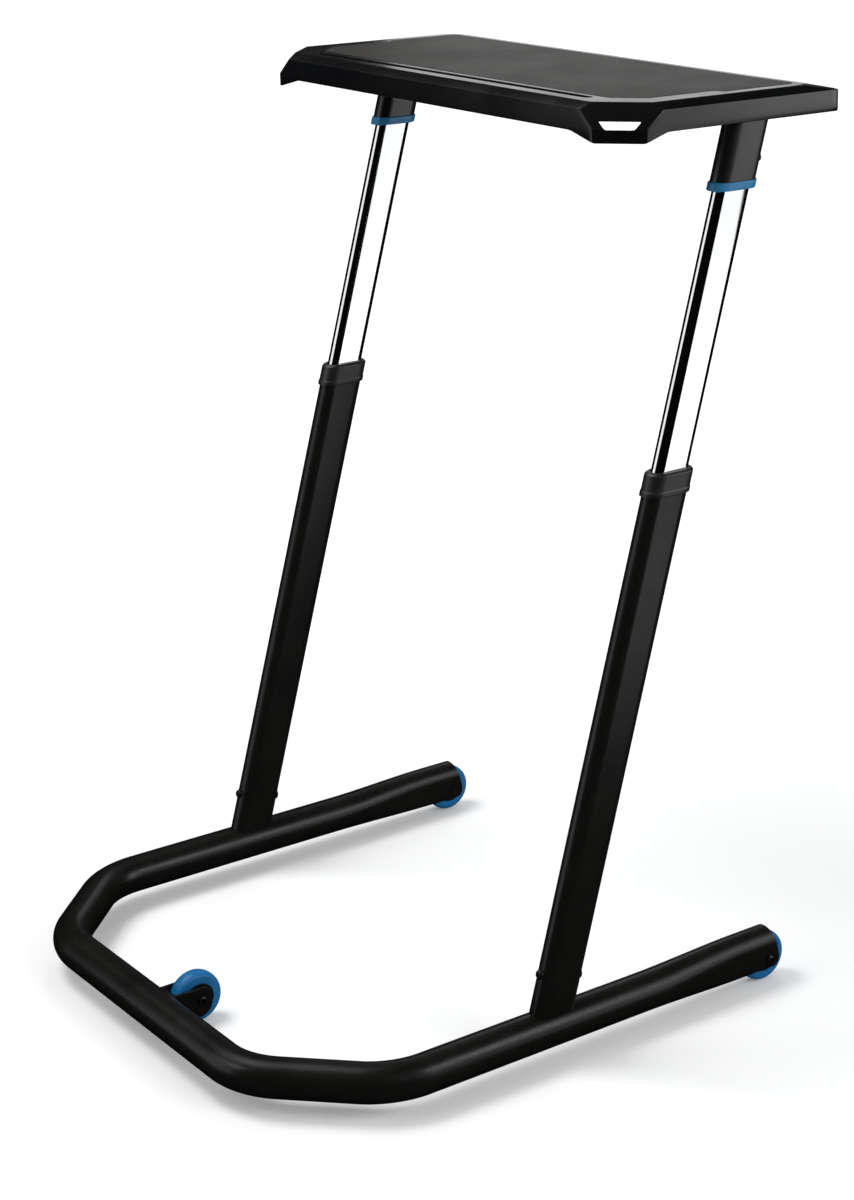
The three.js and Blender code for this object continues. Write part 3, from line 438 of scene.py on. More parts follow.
def prism(outline: np.ndarray, start: float, end: float, axes: tuple[int, int, int]) -> Skin:
    """Carries a flat outline straight along an axis.

    Args:
        outline: the outline's points.
        start: where the prism starts.
        end: where it ends.
        axes: the axes of the outline's two numbers and of its travel.

    Returns:
        The closed skin.
    """
    rings = np.empty((2, len(outline), 3))
    rings[:, :, axes[0]] = outline[:, 0]
    rings[:, :, axes[1]] = outline[:, 1]
    rings[0, :, axes[2]] = start
    rings[1, :, axes[2]] = end
    return loft(rings)


def level_rings(plans: Iterable[tuple[np.ndarray, float]]) -> np.ndarray:
    """Sets outlines in plan at their heights.

    Args:
        plans: pairs of an outline and its height, or its height at each point.

    Returns:
        Rings by points by three.
    """
    return np.array([np.c_[plan, np.broadcast_to(height, len(plan))] for plan, height in plans])


def to_mesh(name: str, skin: Skin) -> bpy.types.Mesh:
    """Puts a skin into a mesh in metres, with its faces outward and its doubles merged.

    Args:
        name: the mesh's name.
        skin: the closed skin.

    Returns:
        The mesh.
    """
    mesh = bpy.data.meshes.new(name)
    mesh.from_pydata((skin.points * MM).tolist(), [], [list(map(int, face)) for face in skin.faces])
    work = bmesh.new()
    work.from_mesh(mesh)
    bmesh.ops.remove_doubles(work, verts=work.verts, dist=SKIN_MERGE)
    bmesh.ops.recalc_face_normals(work, faces=work.faces)
    work.to_mesh(mesh)
    work.free()
    return mesh


def carved(mesh: bpy.types.Mesh, cutters: Iterable[Skin]) -> bpy.types.Mesh:
    """Cuts skins out of a mesh.

    Args:
        mesh: the mesh to cut.
        cutters: closed skins in millimetres.

    Returns:
        A new mesh without them.
    """
    holder = placed("carve", mesh)
    tools = [placed("carve_tool", to_mesh("carve_tool", skin)) for skin in cutters]
    for tool in tools:
        cut = holder.modifiers.new("cut", "BOOLEAN")
        cut.operation, cut.solver, cut.object = "DIFFERENCE", "EXACT", tool
    bpy.context.view_layer.update()
    shape = holder.evaluated_get(bpy.context.evaluated_depsgraph_get())
    result = bpy.data.meshes.new_from_object(shape)
    for thing in [holder, *tools]:
        bpy.data.objects.remove(thing)
    return result


def finish_piece(
    name: str,
    mesh: bpy.types.Mesh,
    finish: Finish,
    body: str,
    replaced: Sequence[str] = (),
    sharp_deg: float = 32.0,
) -> bpy.types.Object:
    """Makes a shown piece of the object from a mesh.

    Args:
        name: the piece's name.
        mesh: its shape in metres.
        finish: its finish.
        body: the moving body that carries it.
        replaced: CAD nodes that it stands for.
        sharp_deg: edges that turn further than this stay crisp.

    Returns:
        The piece.
    """
    mesh.shade_smooth()
    mesh.set_sharp_from_angle(angle=math.radians(sharp_deg))
    piece = placed(name, mesh)
    mesh.materials.clear()
    mesh.materials.append(finish.make())
    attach(piece, body)
    if replaced:
        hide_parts(*replaced)
    LOG.info("%s: %d faces on %s", name, len(mesh.polygons), body)
    return piece


def refined(
    node: str, finish: Finish, body: str, edge_mm: float, flat_deg: float = 0.4, crisp_deg: float = 40.0
) -> None:
    """Shows a copy of a CAD node with flat faces joined and its crisp edges softly broken.

    Args:
        node: the CAD node that the copy stands for.
        finish: its finish.
        body: the moving body that carries it.
        edge_mm: width of the broken edge.
        flat_deg: faces that turn less than this are joined.
        crisp_deg: edges that turn further than this are broken.
    """
    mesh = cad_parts[node].data.copy()
    mesh.name = f"{node}_dressed"
    work = bmesh.new()
    work.from_mesh(mesh)
    bmesh.ops.remove_doubles(work, verts=work.verts, dist=CAD_MERGE)
    flat = math.radians(flat_deg)
    bmesh.ops.dissolve_limit(
        work, angle_limit=flat, verts=work.verts, edges=work.edges, use_dissolve_boundaries=False
    )
    work.to_mesh(mesh)
    work.free()
    if "custom_normal" in mesh.attributes:
        mesh.attributes.remove(mesh.attributes["custom_normal"])
    bevel = finish_piece(mesh.name, mesh, finish, body, [node]).modifiers.new("broken_edge", "BEVEL")
    bevel.width = edge_mm * MM
    bevel.segments = 2
    bevel.limit_method = "ANGLE"
    bevel.angle_limit = math.radians(crisp_deg)


def dress_node(node: str, finish: Finish) -> None:
    """Gives a CAD node that stays shown its real finish.

    Args:
        node: the CAD node.
        finish: its finish.
    """
    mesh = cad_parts[node].data
    mesh.materials.clear()
    mesh.materials.append(finish.make())


@dataclass
class Fastener:
    """A bolt or nut with a smooth dome and, on a bolt, a six-sided socket for the key.

    The CAD node is hidden and the dome is shown in its place. The dome is set where the node's widest face
    is, and the lean turns the bolt's own axes to the frame's.
    """

    node: str
    axis: int
    body: str
    socket: bool
    lean: np.ndarray = field(default_factory=lambda: np.eye(3))
    dome_fullness: float = 0.92
    dome_steps: int = 14
    round_steps: int = 48
    rim_band: float = 0.05
    socket_reach: float = 0.44
    socket_floor: float = 0.35

    def build(self) -> None:
        """Makes the dome.

        At a share s of the dome's height its radius is the head's radius times the root of one minus the
        square of s times the fullness, and at the tip it closes flat.
        """
        own = points_mm(self.node) @ self.lean
        one, two = (i for i in range(3) if i != self.axis)
        centre = (own.max(0) + own.min(0)) / 2
        distance = np.hypot(own[:, one] - centre[one], own[:, two] - centre[two])
        head_radius = float(distance.max())
        tips = own[:, self.axis]
        wide = tips[distance > head_radius - self.rim_band]
        seat = float(wide[np.argmin(np.abs(wide - centre[self.axis]))])
        out = 1.0 if abs(tips.max() - seat) < abs(tips.min() - seat) else -1.0
        tip = float(tips.max() if out > 0 else tips.min())
        height = abs(tip - seat)
        share = np.linspace(0, 1, self.dome_steps)
        radius = head_radius * np.sqrt(1 - (self.dome_fullness * share) ** 2)
        radius[-1] = 0.0
        radius, along = np.r_[0.0, radius][:, None], np.r_[0.0, height * share][:, None]
        angle = np.linspace(0, FULL_TURN, self.round_steps, endpoint=False)
        rings = np.zeros((len(radius), self.round_steps, 3))
        rings[:, :, one] = centre[one] + radius * np.cos(angle)
        rings[:, :, two] = centre[two] + radius * np.sin(angle)
        rings[:, :, self.axis] = seat + out * along
        head = loft(rings)
        shape = to_mesh(f"{self.node}_head", Skin(head.points @ self.lean.T, head.faces))
        if self.socket:
            reach, corner = head_radius * self.socket_reach, np.linspace(0, FULL_TURN, 6, endpoint=False)
            six = [centre[one] + reach * np.cos(corner), centre[two] + reach * np.sin(corner)]
            floor = seat + out * height * self.socket_floor
            hole = prism(np.stack(six, 1), floor, tip + out * height, (one, two, self.axis))
            shape = carved(shape, [Skin(hole.points @ self.lean.T, hole.faces)])
        dress_node(self.node, BLACK_ZINC)
        finish_piece(f"{self.node}_dome", shape, BLACK_ZINC, self.body, [self.node], sharp_deg=30.0)


@dataclass
class BaseTube:
    """The bent tube: two legs and a cross bar in one length, pressed over the leg wheels."""

    # The bent tube: its corners are cut off by so much, with a bend at each end of the cut
    radius: float = 26.0
    wall: float = 2.0
    corner_cut: float = 135.0
    bend_radius: float = 110.0
    bend_steps: int = 28
    round_steps: int = 14
    # The leg's end: pressed to a round top over upright sides, cut to a cheek, slotted for the wheel
    pressed_width: float = 43.0
    pressed_rise: float = 10.0
    pressed_drop: float = 24.5
    pressed_corner: float = 8.0
    pressed_length: float = 40.0
    press_blend: float = 170.0
    press_steps: int = 18
    end_reach: float = 8.0
    lobe_radius: float = 17.0
    lobe_steps: int = 24
    slot_half: float = 14.2
    slot_before: float = 39.0
    # The fork and its weld beads: a bead's radius, how far it lies out and aside, and its start
    fork_edge: float = 0.6
    bead: float = 2.2
    bead_out: float = 0.6
    bead_aside: float = 0.4
    bead_above: float = 14.0
    bead_ripples: int = 16
    bead_steps: int = 96
    bead_points: int = 12
    centre_height: float = field(init=False)
    cross_y: float = field(init=False)
    leg_x: float = field(init=False)
    axle: np.ndarray = field(init=False)

    def __post_init__(self) -> None:
        """Reads the tube's place from the frame."""
        low, high = box_mm("base_tube")
        self.cross_y = float(low[1]) + self.radius
        self.leg_x = float(high[0]) - self.radius
        self.axle = np.mean(box_mm("right_wheel_sleeve"), 0)
        self.centre_height = float(high[2]) - self.pressed_rise - self.pressed_width / 2

    def centreline(self) -> tuple[np.ndarray, np.ndarray]:
        """Stations from the left leg's end round to the right leg's end.

        Each bend is an arc of one eighth of a turn, centred so that it touches both straights.

        Returns:
            Places and directions in plan, each an array of pairs.
        """
        turn = np.pi / 4
        setback = self.bend_radius * np.tan(turn / 2)
        far = self.axle[1] + self.lobe_radius + self.radius
        pressed = self.axle[1] - self.pressed_length
        leg_y = np.r_[far, np.linspace(pressed, pressed - self.press_blend, self.press_steps)]
        places = [np.stack([np.full(len(leg_y), self.leg_x), leg_y], 1)]
        directions = [np.tile([0.0, 1.0], (len(leg_y), 1))]
        bends = (
            (self.leg_x - self.bend_radius, self.cross_y + self.corner_cut + setback, 0.0),
            (self.leg_x - self.corner_cut - setback, self.cross_y + self.bend_radius, -turn),
        )
        for x, y, first in bends:
            angle = first - np.linspace(0, turn, self.bend_steps)
            outward = np.stack([np.cos(angle), np.sin(angle)], 1)
            places.append([x, y] + self.bend_radius * outward)
            directions.append(outward[:, ::-1] * [-1, 1])
        half_places, half_directions = np.concatenate(places), np.concatenate(directions)
        other_places = half_places[::-1] * [-1, 1]
        other_directions = half_directions[::-1] * [1, -1]
        return np.r_[half_places, other_places], np.r_[half_directions, other_directions]

    def rings(self, inward: float) -> np.ndarray:
        """Sections of the tube at every station.

        A section is four rounds. Where the tube is pressed, the upper two share a raised centre and the
        lower two part into tight corners; the share pressed rises smoothly, 3 s^2 - 2 s^3.

        Args:
            inward: how far inside the outer wall the section lies.

        Returns:
            Rings by points by three.
        """
        places, directions = self.centreline()
        begin = self.axle[1] - self.pressed_length - self.press_blend
        share = np.clip((places[:, 1] - begin) / self.press_blend, 0, 1)
        share = share * share * (3 - 2 * share)
        half = self.radius + share * (self.pressed_width / 2 - self.radius)
        corner = self.radius + share * (self.pressed_corner - self.radius)
        low = self.radius + share * (self.pressed_drop - self.radius)
        rise = share * self.pressed_rise
        upper = (np.zeros_like(share), rise, half)
        rounds = (upper, upper, (corner - half, corner - low, corner), (half - corner, corner - low, corner))
        across, up = [], []
        for quarter, (centre_across, centre_up, radius) in enumerate(rounds):
            angle = np.pi / 2 * (quarter + np.linspace(0, 1, self.round_steps + 1))[None, :]
            across.append(centre_across[:, None] + (radius[:, None] - inward) * np.cos(angle))
            up.append(centre_up[:, None] + (radius[:, None] - inward) * np.sin(angle))
        sideways, upward = np.concatenate(across, 1), np.concatenate(up, 1)
        x = places[:, :1] + sideways * directions[:, 1:]
        y = places[:, 1:] - sideways * directions[:, :1]
        return np.stack([x, y, self.centre_height + upward], -1)

    def end_trim(self) -> np.ndarray:
        """Side view of what is cut from a leg's end: a slanting face down to a round cheek.

        Returns:
            Pairs of place along the leg and height.
        """
        reach = self.end_reach
        top = self.centre_height + self.pressed_rise + self.pressed_width / 2 - self.axle[2]
        lean = np.arctan2(top, reach) - np.arccos(self.lobe_radius / np.hypot(reach, top))
        angle = np.linspace(lean, -np.pi / 2, self.lobe_steps)
        lobe = self.lobe_radius * np.stack([np.cos(angle), np.sin(angle)], 1)
        far = 2 * self.radius
        outer = np.array([[0, -far], [far, -far], [far, top + far], [reach, top + far], [reach, top]])
        return np.concatenate([lobe, outer]) + self.axle[1:]

    def build(self) -> None:
        """Makes the tube with its wall, slots and trimmed ends, and the fork with its welds."""
        outer, inner = self.rings(0.0), self.rings(self.wall)
        mesh = to_mesh("bent_tube", loft(np.concatenate([outer, inner[::-1]]), closed_rows=True))
        clear = self.radius + self.wall
        ahead, behind = self.axle[1] - self.slot_before, self.axle[1] + 2 * self.radius
        cutters = []
        for side in SIDES.values():
            x = side * self.leg_x
            cutters.append(prism(self.end_trim(), x - clear, x + clear, (1, 2, 0)))
            slot = rectangle((x - self.slot_half, ahead), (x + self.slot_half, behind))
            cutters.append(prism(slot, -self.radius, self.axle[2], (0, 1, 2)))
        finish_piece("bent_tube", carved(mesh, cutters), POWDER_COAT, "stand", ["base_tube"])
        refined("centre_wheel_fork", POWDER_COAT, "stand", self.fork_edge)
        self.fork_weld()

    def fork_weld(self) -> None:
        """Makes the weld beads along the fork's two cheeks where they meet the cross bar.

        A bead is a string of overlapping ripples: its radius swells by a sixth of itself, once each
        ripple, along an arc that follows the round of the tube.
        """
        low, high = box_mm("centre_wheel_fork")
        arc = self.radius + self.bead_out
        heights = np.array([low[2] + self.bead_above, high[2] - self.bead])
        angle = np.linspace(*np.arcsin((heights - self.centre_height) / arc), self.bead_steps)[:, None]
        swell = np.abs(np.sin(np.pi * self.bead_ripples * np.linspace(0, 1, self.bead_steps)))
        radius = self.bead * (1 + swell[:, None] / 6)
        radius[[0, -1]] = self.bead / 8
        around = np.linspace(0, FULL_TURN, self.bead_points, endpoint=False)[None, :]
        reach = arc + radius * np.sin(around)
        y, z = self.cross_y + reach * np.cos(angle), self.centre_height + reach * np.sin(angle)
        edges = (float(low[0]) - self.bead_aside, float(high[0]) + self.bead_aside)
        left, right = (loft(np.stack([x + radius * np.cos(around), y, z], -1)) for x in edges)
        finish_piece("fork_weld_beads", to_mesh("fork_weld_beads", left.joined(right)), POWDER_COAT, "stand")


@dataclass
class Wheel:
    """One wheel: tyre, hub, and the axle bolt with its domed nut."""

    name: str
    # The tyre: how much of its height stands upright at the sides, and how square its crown is
    width: float = 24.0
    tyre_seat: float = 21.0
    seat_gap: float = 0.3
    side_share: float = 0.5
    crown_power: float = 2.3
    crown_points: int = 33
    tyre_steps: int = 96
    # The hub: its rim, web and boss, with slanted feet, and the ribs on the web
    hub_width: float = 22.0
    hub_wall: float = 3.5
    hub_bore: float = 6.3
    hub_edge: float = 0.8
    hub_steps: int = 72
    web: float = 6.0
    boss: float = 8.0
    boss_draft: float = 1.5
    rim_draft: float = 1.0
    rib_count: int = 6
    rib_start: float = 7.5
    rib_end: float = 17.6
    rib_half: float = 1.1
    rib_depth: float = 8.5
    rib_edge: float = 0.4

    def tyre_profile(self, radius: float) -> np.ndarray:
        """Outline of the tyre: upright sides, then a crown.

        The crown is a superellipse: width to the power p plus rise to the power p stays 1.

        Args:
            radius: the tyre's outer radius.

        Returns:
            Pairs of radius and place along the axle.
        """
        half = self.width / 2
        shoulder = self.tyre_seat + self.side_share * (radius - self.tyre_seat)
        angle = np.linspace(0, np.pi, self.crown_points)
        along = -half * np.sign(np.cos(angle)) * np.abs(np.cos(angle)) ** (2 / self.crown_power)
        rise = shoulder + (radius - shoulder) * np.sin(angle) ** (2 / self.crown_power)
        foot = np.array([[self.tyre_seat, half], [self.tyre_seat, -half]])
        return np.concatenate([np.stack([rise, along], 1), foot])

    def hub_profile(self, boss_half: float) -> np.ndarray:
        """Outline of the hub: a rim, a thinner web and a long boss, with softened corners.

        Args:
            boss_half: half of the boss's length.

        Returns:
            Pairs of radius and place along the axle.
        """
        rim = self.tyre_seat - self.seat_gap
        inside, web, side = rim - self.hub_wall, self.web / 2, self.hub_width / 2
        upper = [
            (self.hub_bore, boss_half), (self.boss, boss_half), (self.boss + self.boss_draft, web),
            (inside - self.rim_draft, web), (inside, side), (rim, side),
        ]
        lower = [(radius, -along) for radius, along in reversed(upper)]
        return rounded(upper + lower, self.hub_edge)

    def hub_ribs(self, centre: np.ndarray) -> list[Skin]:
        """Short ribs from boss to rim on both faces of the web, as moulded hubs have.

        Args:
            centre: the wheel's middle.

        Returns:
            One closed skin for each rib.
        """
        rib = rectangle((self.rib_start, -self.rib_half), (self.rib_end, self.rib_half))
        outline = rounded(rib, self.rib_edge, 2)
        ends = (centre[0] - self.rib_depth, centre[0] + self.rib_depth)
        ribs = []
        for angle in np.linspace(0, FULL_TURN, self.rib_count, endpoint=False):
            turned = outline @ np.array([[np.cos(angle), np.sin(angle)], [-np.sin(angle), np.cos(angle)]])
            ribs.append(prism(turned + centre[1:], *ends, (1, 2, 0)))
        return ribs

    def build(self) -> None:
        """Makes the wheel's pieces."""
        name, wheel = self.name, f"{self.name}_wheel"
        low, high = box_mm(f"{wheel}_tyre")
        centre = (low + high) / 2
        tyre = revolve(self.tyre_profile(float(high[2] - low[2]) / 2), centre, self.tyre_steps)
        mesh = to_mesh("tyre", tyre)
        finish_piece(f"{name}_tyre", mesh, BLUE_TYRE, wheel, [f"{wheel}_tyre"], sharp_deg=50.0)
        low, high = box_mm(f"{wheel}_hub")
        hub = revolve(self.hub_profile(float(high[0] - low[0]) / 2), centre, self.hub_steps)
        mesh = to_mesh("hub", hub.joined(*self.hub_ribs(centre)))
        finish_piece(f"{name}_hub", mesh, BLACK_NYLON, wheel, [f"{wheel}_hub"], sharp_deg=28.0)
        Fastener(f"{wheel}_axle", 0, "stand", socket=True).build()
        Fastener(f"{wheel}_nut", 0, "stand", socket=False).build()
        dress_node(f"{wheel}_sleeve", ZINC_STEEL)


@dataclass
class Post:
    """One telescopic post: outer tube, collar, chromed inner tube and blue ring, all one flat-oval family."""

    name: str
    base: BaseTube
    # The foot's place from the cross bar, and the flat oval: half of the line that it runs round
    foot_y: float = 370.0
    reach: float = 15.0
    steps: int = 28
    gap: float = 0.3
    outer_radius: float = 16.0
    outer_wall: float = 2.0
    outer_top: float = 725.0
    inner_radius: float = 11.0
    inner_wall: float = 1.5
    insert: float = 206.0
    # The ring and the collar, measured from the tubes that they sit on
    ring_height: float = 11.0
    ring_proud: float = 2.0
    ring_edge: float = 1.6
    ring_steps: int = 5
    collar_proud: float = 3.0
    collar_skirt: float = 23.0
    collar_lip: float = 7.3
    collar_band: float = 6.0
    collar_step: float = 0.8
    collar_edge: float = 0.9
    shoulder_in: float = 3.4
    shoulder_drop: float = 3.0
    guide_depth: float = 60.0
    bracket_edge: float = 0.7
    lever_edge: float = 0.8

    def place(self) -> np.ndarray:
        """Where the post stands.

        Returns:
            Matrix from the post's own axes, Z up the lean, to the frame's axes in millimetres.
        """
        lean = np.radians(POST_LEAN_DEG)
        matrix = np.eye(4)
        matrix[1, 1:3] = [np.cos(lean), np.sin(lean)]
        matrix[2, 1:3] = [-np.sin(lean), np.cos(lean)]
        matrix[0, 3] = SIDES[self.name] * self.base.leg_x
        matrix[1:3, 3] = self.base.cross_y + self.foot_y, self.base.centre_height
        return matrix

    def top_of(self, node: str) -> float:
        """Where a node with a level top ends along the post's axis.

        Args:
            node: the CAD node.

        Returns:
            The height of its highest point, as if it lay on the axis.
        """
        matrix = self.place()
        own = (points_mm(node) - matrix[:3, 3]) @ matrix[:3, :3]
        return float((own[:, 2] - own[:, 1] * math.tan(math.radians(POST_LEAN_DEG))).max())

    def oval(self, profile: np.ndarray) -> Skin:
        """Carries a closed profile of (radius, height) round the post's flat oval.

        The oval is every point at one radius from a short straight line, so a point is the line's nearer
        end plus the radius times the outward direction. Its height then grows by its depth times the
        lean's tangent, which makes the ends level on the leaning post.

        Args:
            profile: the closed outline.

        Returns:
            The closed skin in the post's own axes.
        """
        half_turn = np.linspace(0, np.pi, self.steps + 1)
        angle = np.concatenate([half_turn, half_turn + np.pi])
        shift = np.repeat([self.reach, -self.reach], self.steps + 1)
        radius, height = profile[:, :1], profile[:, 1:]
        y = shift + radius * np.sin(angle)
        rings = np.stack([radius * np.cos(angle), y, height + y * math.tan(math.radians(POST_LEAN_DEG))], -1)
        return loft(rings, closed_rows=True)

    def outer_tube(self) -> Skin:
        """The outer tube, its foot cut to lie on the round leg.

        The foot's height at x across and y along the leg is the leg's height there, the root of radius
        squared less x squared, plus y times the lean's sine, all over its cosine.

        Returns:
            The closed skin in the post's own axes.
        """
        lean = np.radians(POST_LEAN_DEG)
        skin = self.oval(
            rectangle((self.outer_radius - self.outer_wall, 0.0), (self.outer_radius, self.outer_top))
        )
        foot = skin.points[:, 2] < self.base.radius
        x, y = skin.points[foot, 0], skin.points[foot, 1]
        leg = np.sqrt((self.base.radius + self.gap) ** 2 - x**2)
        skin.points[foot, 2] = (leg + y * np.sin(lean)) / np.cos(lean)
        return skin

    def inner_tube(self) -> Skin:
        """The chromed tube, from inside the outer one into the bracket, in the post's own axes."""
        radius, low = self.inner_radius, self.outer_top - self.insert + self.inner_radius
        high = self.top_of(f"{self.name}_inner_post") - 2 * radius
        return self.oval(rectangle((radius - self.inner_wall, low), (radius, high)))

    def collar(self) -> Skin:
        """The moulded collar: a skirt with a thick lower band, a soft shoulder and a guide sleeve inside.

        Returns:
            The closed skin in the post's own axes.
        """
        outside = self.outer_radius + self.collar_proud
        side = outside - self.collar_step
        skirt_bore = self.outer_radius + self.gap
        guide = self.outer_radius - self.outer_wall - self.gap
        bore = self.inner_radius + self.gap
        bottom, top = self.outer_top - self.collar_skirt, self.outer_top + self.collar_lip
        band, seat = bottom + self.collar_band, self.outer_top + self.gap
        foot = self.outer_top - self.guide_depth
        outline = [
            (skirt_bore, bottom), (outside, bottom), (outside, band), (side, band + 1.0),
            (side, top - self.shoulder_drop), (outside - self.shoulder_in, top), (bore, top), (bore, foot),
            (guide, foot), (guide, seat), (skirt_bore, seat),
        ]
        return self.oval(rounded(outline, self.collar_edge))

    def ring(self) -> Skin:
        """The blue ring at the top of the chromed tube, in the post's own axes."""
        top = self.top_of(f"{self.name}_trim_ring")
        low = (self.inner_radius + self.gap, top - self.ring_height)
        high = (self.outer_radius + self.ring_proud, top)
        return self.oval(rounded(rectangle(low, high), self.ring_edge, self.ring_steps))

    def build(self) -> None:
        """Makes the post's shown pieces and dresses what works inside it."""
        name, matrix = self.name, self.place()
        for piece, skin, finish, body, node, sharp_deg in (
            ("outer_tube", self.outer_tube(), POWDER_COAT, "stand", "outer_post", 32.0),
            ("inner_tube", self.inner_tube(), CHROME_PLATE, "desk", "inner_post", 32.0),
            ("collar", self.collar(), BLACK_NYLON, "stand", "post_collar", 40.0),
            ("blue_ring", self.ring(), BLUE_RING, "desk", "trim_ring", 50.0),
        ):
            mesh = to_mesh(piece, skin.moved(matrix))
            finish_piece(f"{name}_{piece}", mesh, finish, body, [f"{name}_{node}"], sharp_deg)
        for node, body, socket in (
            ("foot_bolt", "stand", True), ("foot_nut", "stand", False), ("bracket_screw", "desk", True)
        ):
            Fastener(f"{name}_{node}", 1, body, socket, matrix[:3, :3]).build()
        refined(f"{name}_top_bracket", CAST_PAINT, "desk", self.bracket_edge)
        refined(f"{name}_release_lever", BLACK_NYLON, f"{name}_lever", self.lever_edge)
        for node, finish in (
            ("post_stub", POWDER_COAT), ("post_glide", NATURAL_NYLON), ("lever_pin", ZINC_STEEL),
            ("release_rod", ZINC_STEEL), ("lock_wedge", ZINC_STEEL), ("brake_shoe", BRAKE_LINING),
        ):
            dress_node(f"{name}_{node}", finish)


@dataclass
class Desktop:
    """The moulded tray with its mat, groove, slotted corners and ribs."""

    # The tray: upright fascia, bevel up to the rim, wall and deck
    width: float = 790.0
    fascia: float = 27.0
    bevel_drop: float = 8.0
    bevel_inset: float = 13.0
    rider_bevel: float = 37.0
    fascia_corner: float = 9.0
    rim_corner: float = 24.0
    wall: float = 3.0
    deck: float = 4.0
    deck_share: float = 0.7
    inner_drop: float = 2.0
    # Its front corners: the lower edge droops there, and each is cut off, more at the rim than at the lip
    droop: float = 11.0
    droop_front: float = 90.0
    droop_side: float = 80.0
    lip_cut: float = 46.0
    lip_upright: float = 17.0
    lip_bend: float = 0.7
    rim_cut: float = 80.0
    cut_corner: float = 3.0
    facet_wall: float = 3.5
    edge: float = 1.4
    # Steps round each corner, and along each side from the right facet to the front
    corner_steps: int = 5
    side_steps: tuple[int, ...] = (16, 40, 60, 40, 16, 90)
    # The tray's recess and its mat, measured from the sides, the front and the rider's edge
    mat_recess: float = 2.0
    mat_thickness: float = 2.4
    mat_gap: float = 0.5
    mat_side: float = 45.0
    mat_side_wide: float = 31.0
    mat_front: float = 52.0
    mat_back: float = 47.0
    mat_step: float = 188.0
    mat_step_slope: float = 8.0
    mat_cut: float = 35.0
    mat_corners: tuple[float, ...] = (4.0, 4.0, 3.0, 3.0, 14.0)
    mat_corner_steps: int = 6
    # The trapezoid slot, above the lip
    slot_above: float = 15.5
    slot_rise: float = 9.5
    slot_half_top: float = 26.0
    slot_half_foot: float = 17.5
    slot_corner: float = 2.5
    slot_corner_steps: int = 4
    slot_depth: float = 90.0
    # The groove and the trough under it
    groove_reach: float = 294.0
    groove_half: float = 6.0
    groove_depth: float = 8.0
    groove_front: float = 31.0
    groove_points: int = 13
    trough_reach: float = 303.0
    trough_half: float = 9.0
    trough_corner: float = 8.9
    trough_depth: float = 11.0
    # The ribs: places as shares of the width, and stretches between the bays for the rails
    rib_shares: tuple[float, ...] = (-0.37, -0.185, 0.0, 0.185, 0.37)
    rib_stretches: tuple[Pair, ...] = ((2.0, 127.5), (162.5, 277.5))
    rib_last: float = 312.5
    rib_back: float = 28.0
    rib_half: float = 1.5
    rib_depth: float = 12.0
    rib_edge: float = 1.0
    # How far ribs and trough reach into the deck, and how far a cutter reaches past what it cuts
    sunk: float = 0.5
    past: float = 5.0
    rail_edge: float = 0.8
    front: float = field(init=False)
    back: float = field(init=False)
    top: float = field(init=False)
    lip: float = field(init=False)

    def __post_init__(self) -> None:
        """Reads the tray's place from the frame."""
        low, high = box_mm("desktop_shell")
        self.front, self.back = float(low[1]), float(high[1])
        self.lip, self.top = float(low[2]), float(high[2])

    @property
    def fascia_top(self) -> float:
        """Height of the fascia's upper edge."""
        return self.top - self.bevel_drop

    @property
    def deck_under(self) -> float:
        """Height of the deck's underside."""
        return self.top - self.mat_recess - self.deck

    def outline(
        self, inset: float, rider_inset: float, height: float, corner: float, extra_cut: float = 0.0
    ) -> np.ndarray:
        """The tray's plan at one height.

        The front corners are cut off: the distances from the two sides add up to a cut that stays the
        same over the upright lip and then grows evenly up to the rim.

        Args:
            inset: from the front and the sides.
            rider_inset: from the rider's edge.
            height: of the plane that the cut is taken at.
            corner: rounding at the rider's corners.
            extra_cut: how much deeper the cut lies, for the inner wall.

        Returns:
            Points in plan.
        """
        bend = self.lip + self.lip_upright
        share = max(0.0, height - bend) / (self.top - bend)
        cut = self.lip_cut + share * (self.rim_cut - self.lip_cut) + extra_cut
        half, front = self.width / 2, self.front
        right = [
            (half - cut + inset, front + inset), (half - inset, front + cut - inset),
            (half - inset, self.back - rider_inset),
        ]
        radii = [self.cut_corner, self.cut_corner, corner, corner, self.cut_corner, self.cut_corner]
        return rounded(mirrored(right), radii, self.corner_steps, self.side_steps)

    def droop_at(self, plan: np.ndarray) -> np.ndarray:
        """Height of the lower edge: level, but down a ramp to the lip near each front corner.

        Args:
            plan: points in plan.

        Returns:
            The height at each point: the fascia's bottom less the droop times the lesser of two ramps,
            one along the front and one along the side, each kept between 0 and 1.
        """
        from_side = self.width / 2 - np.abs(plan[:, 0])
        from_front = plan[:, 1] - self.front
        ramp_front = (self.droop_front - from_side) / (self.droop_front - self.lip_cut)
        ramp_side = (self.droop_side - from_front) / (self.droop_side - self.lip_cut)
        return self.fascia_top - self.fascia - self.droop * np.clip(np.minimum(ramp_front, ramp_side), 0, 1)

    def shell(self) -> Skin:
        """The tray's skin, from the middle of its underside over the rim to the middle of its top.

        Returns:
            The closed skin.
        """
        edge, wall, inset, drop = self.edge, self.wall, self.bevel_inset, self.bevel_drop
        inner_cut, inner_corner = self.facet_wall * math.sqrt(2), self.fascia_corner - wall
        deck, bend, slant = self.deck_share, self.lip + self.lip_upright, edge * drop / inset
        plans = []
        # Inside of the wall: inset, inset at the rider's edge, height and corner
        for side, rider, height, corner in (
            (deck * inset, deck * self.rider_bevel, self.deck_under, deck * self.rim_corner),
            (wall, wall, self.fascia_top - self.inner_drop, inner_corner),
            (wall, wall, bend, inner_corner),
        ):
            plans.append((self.outline(side, rider, height, corner, inner_cut), height))
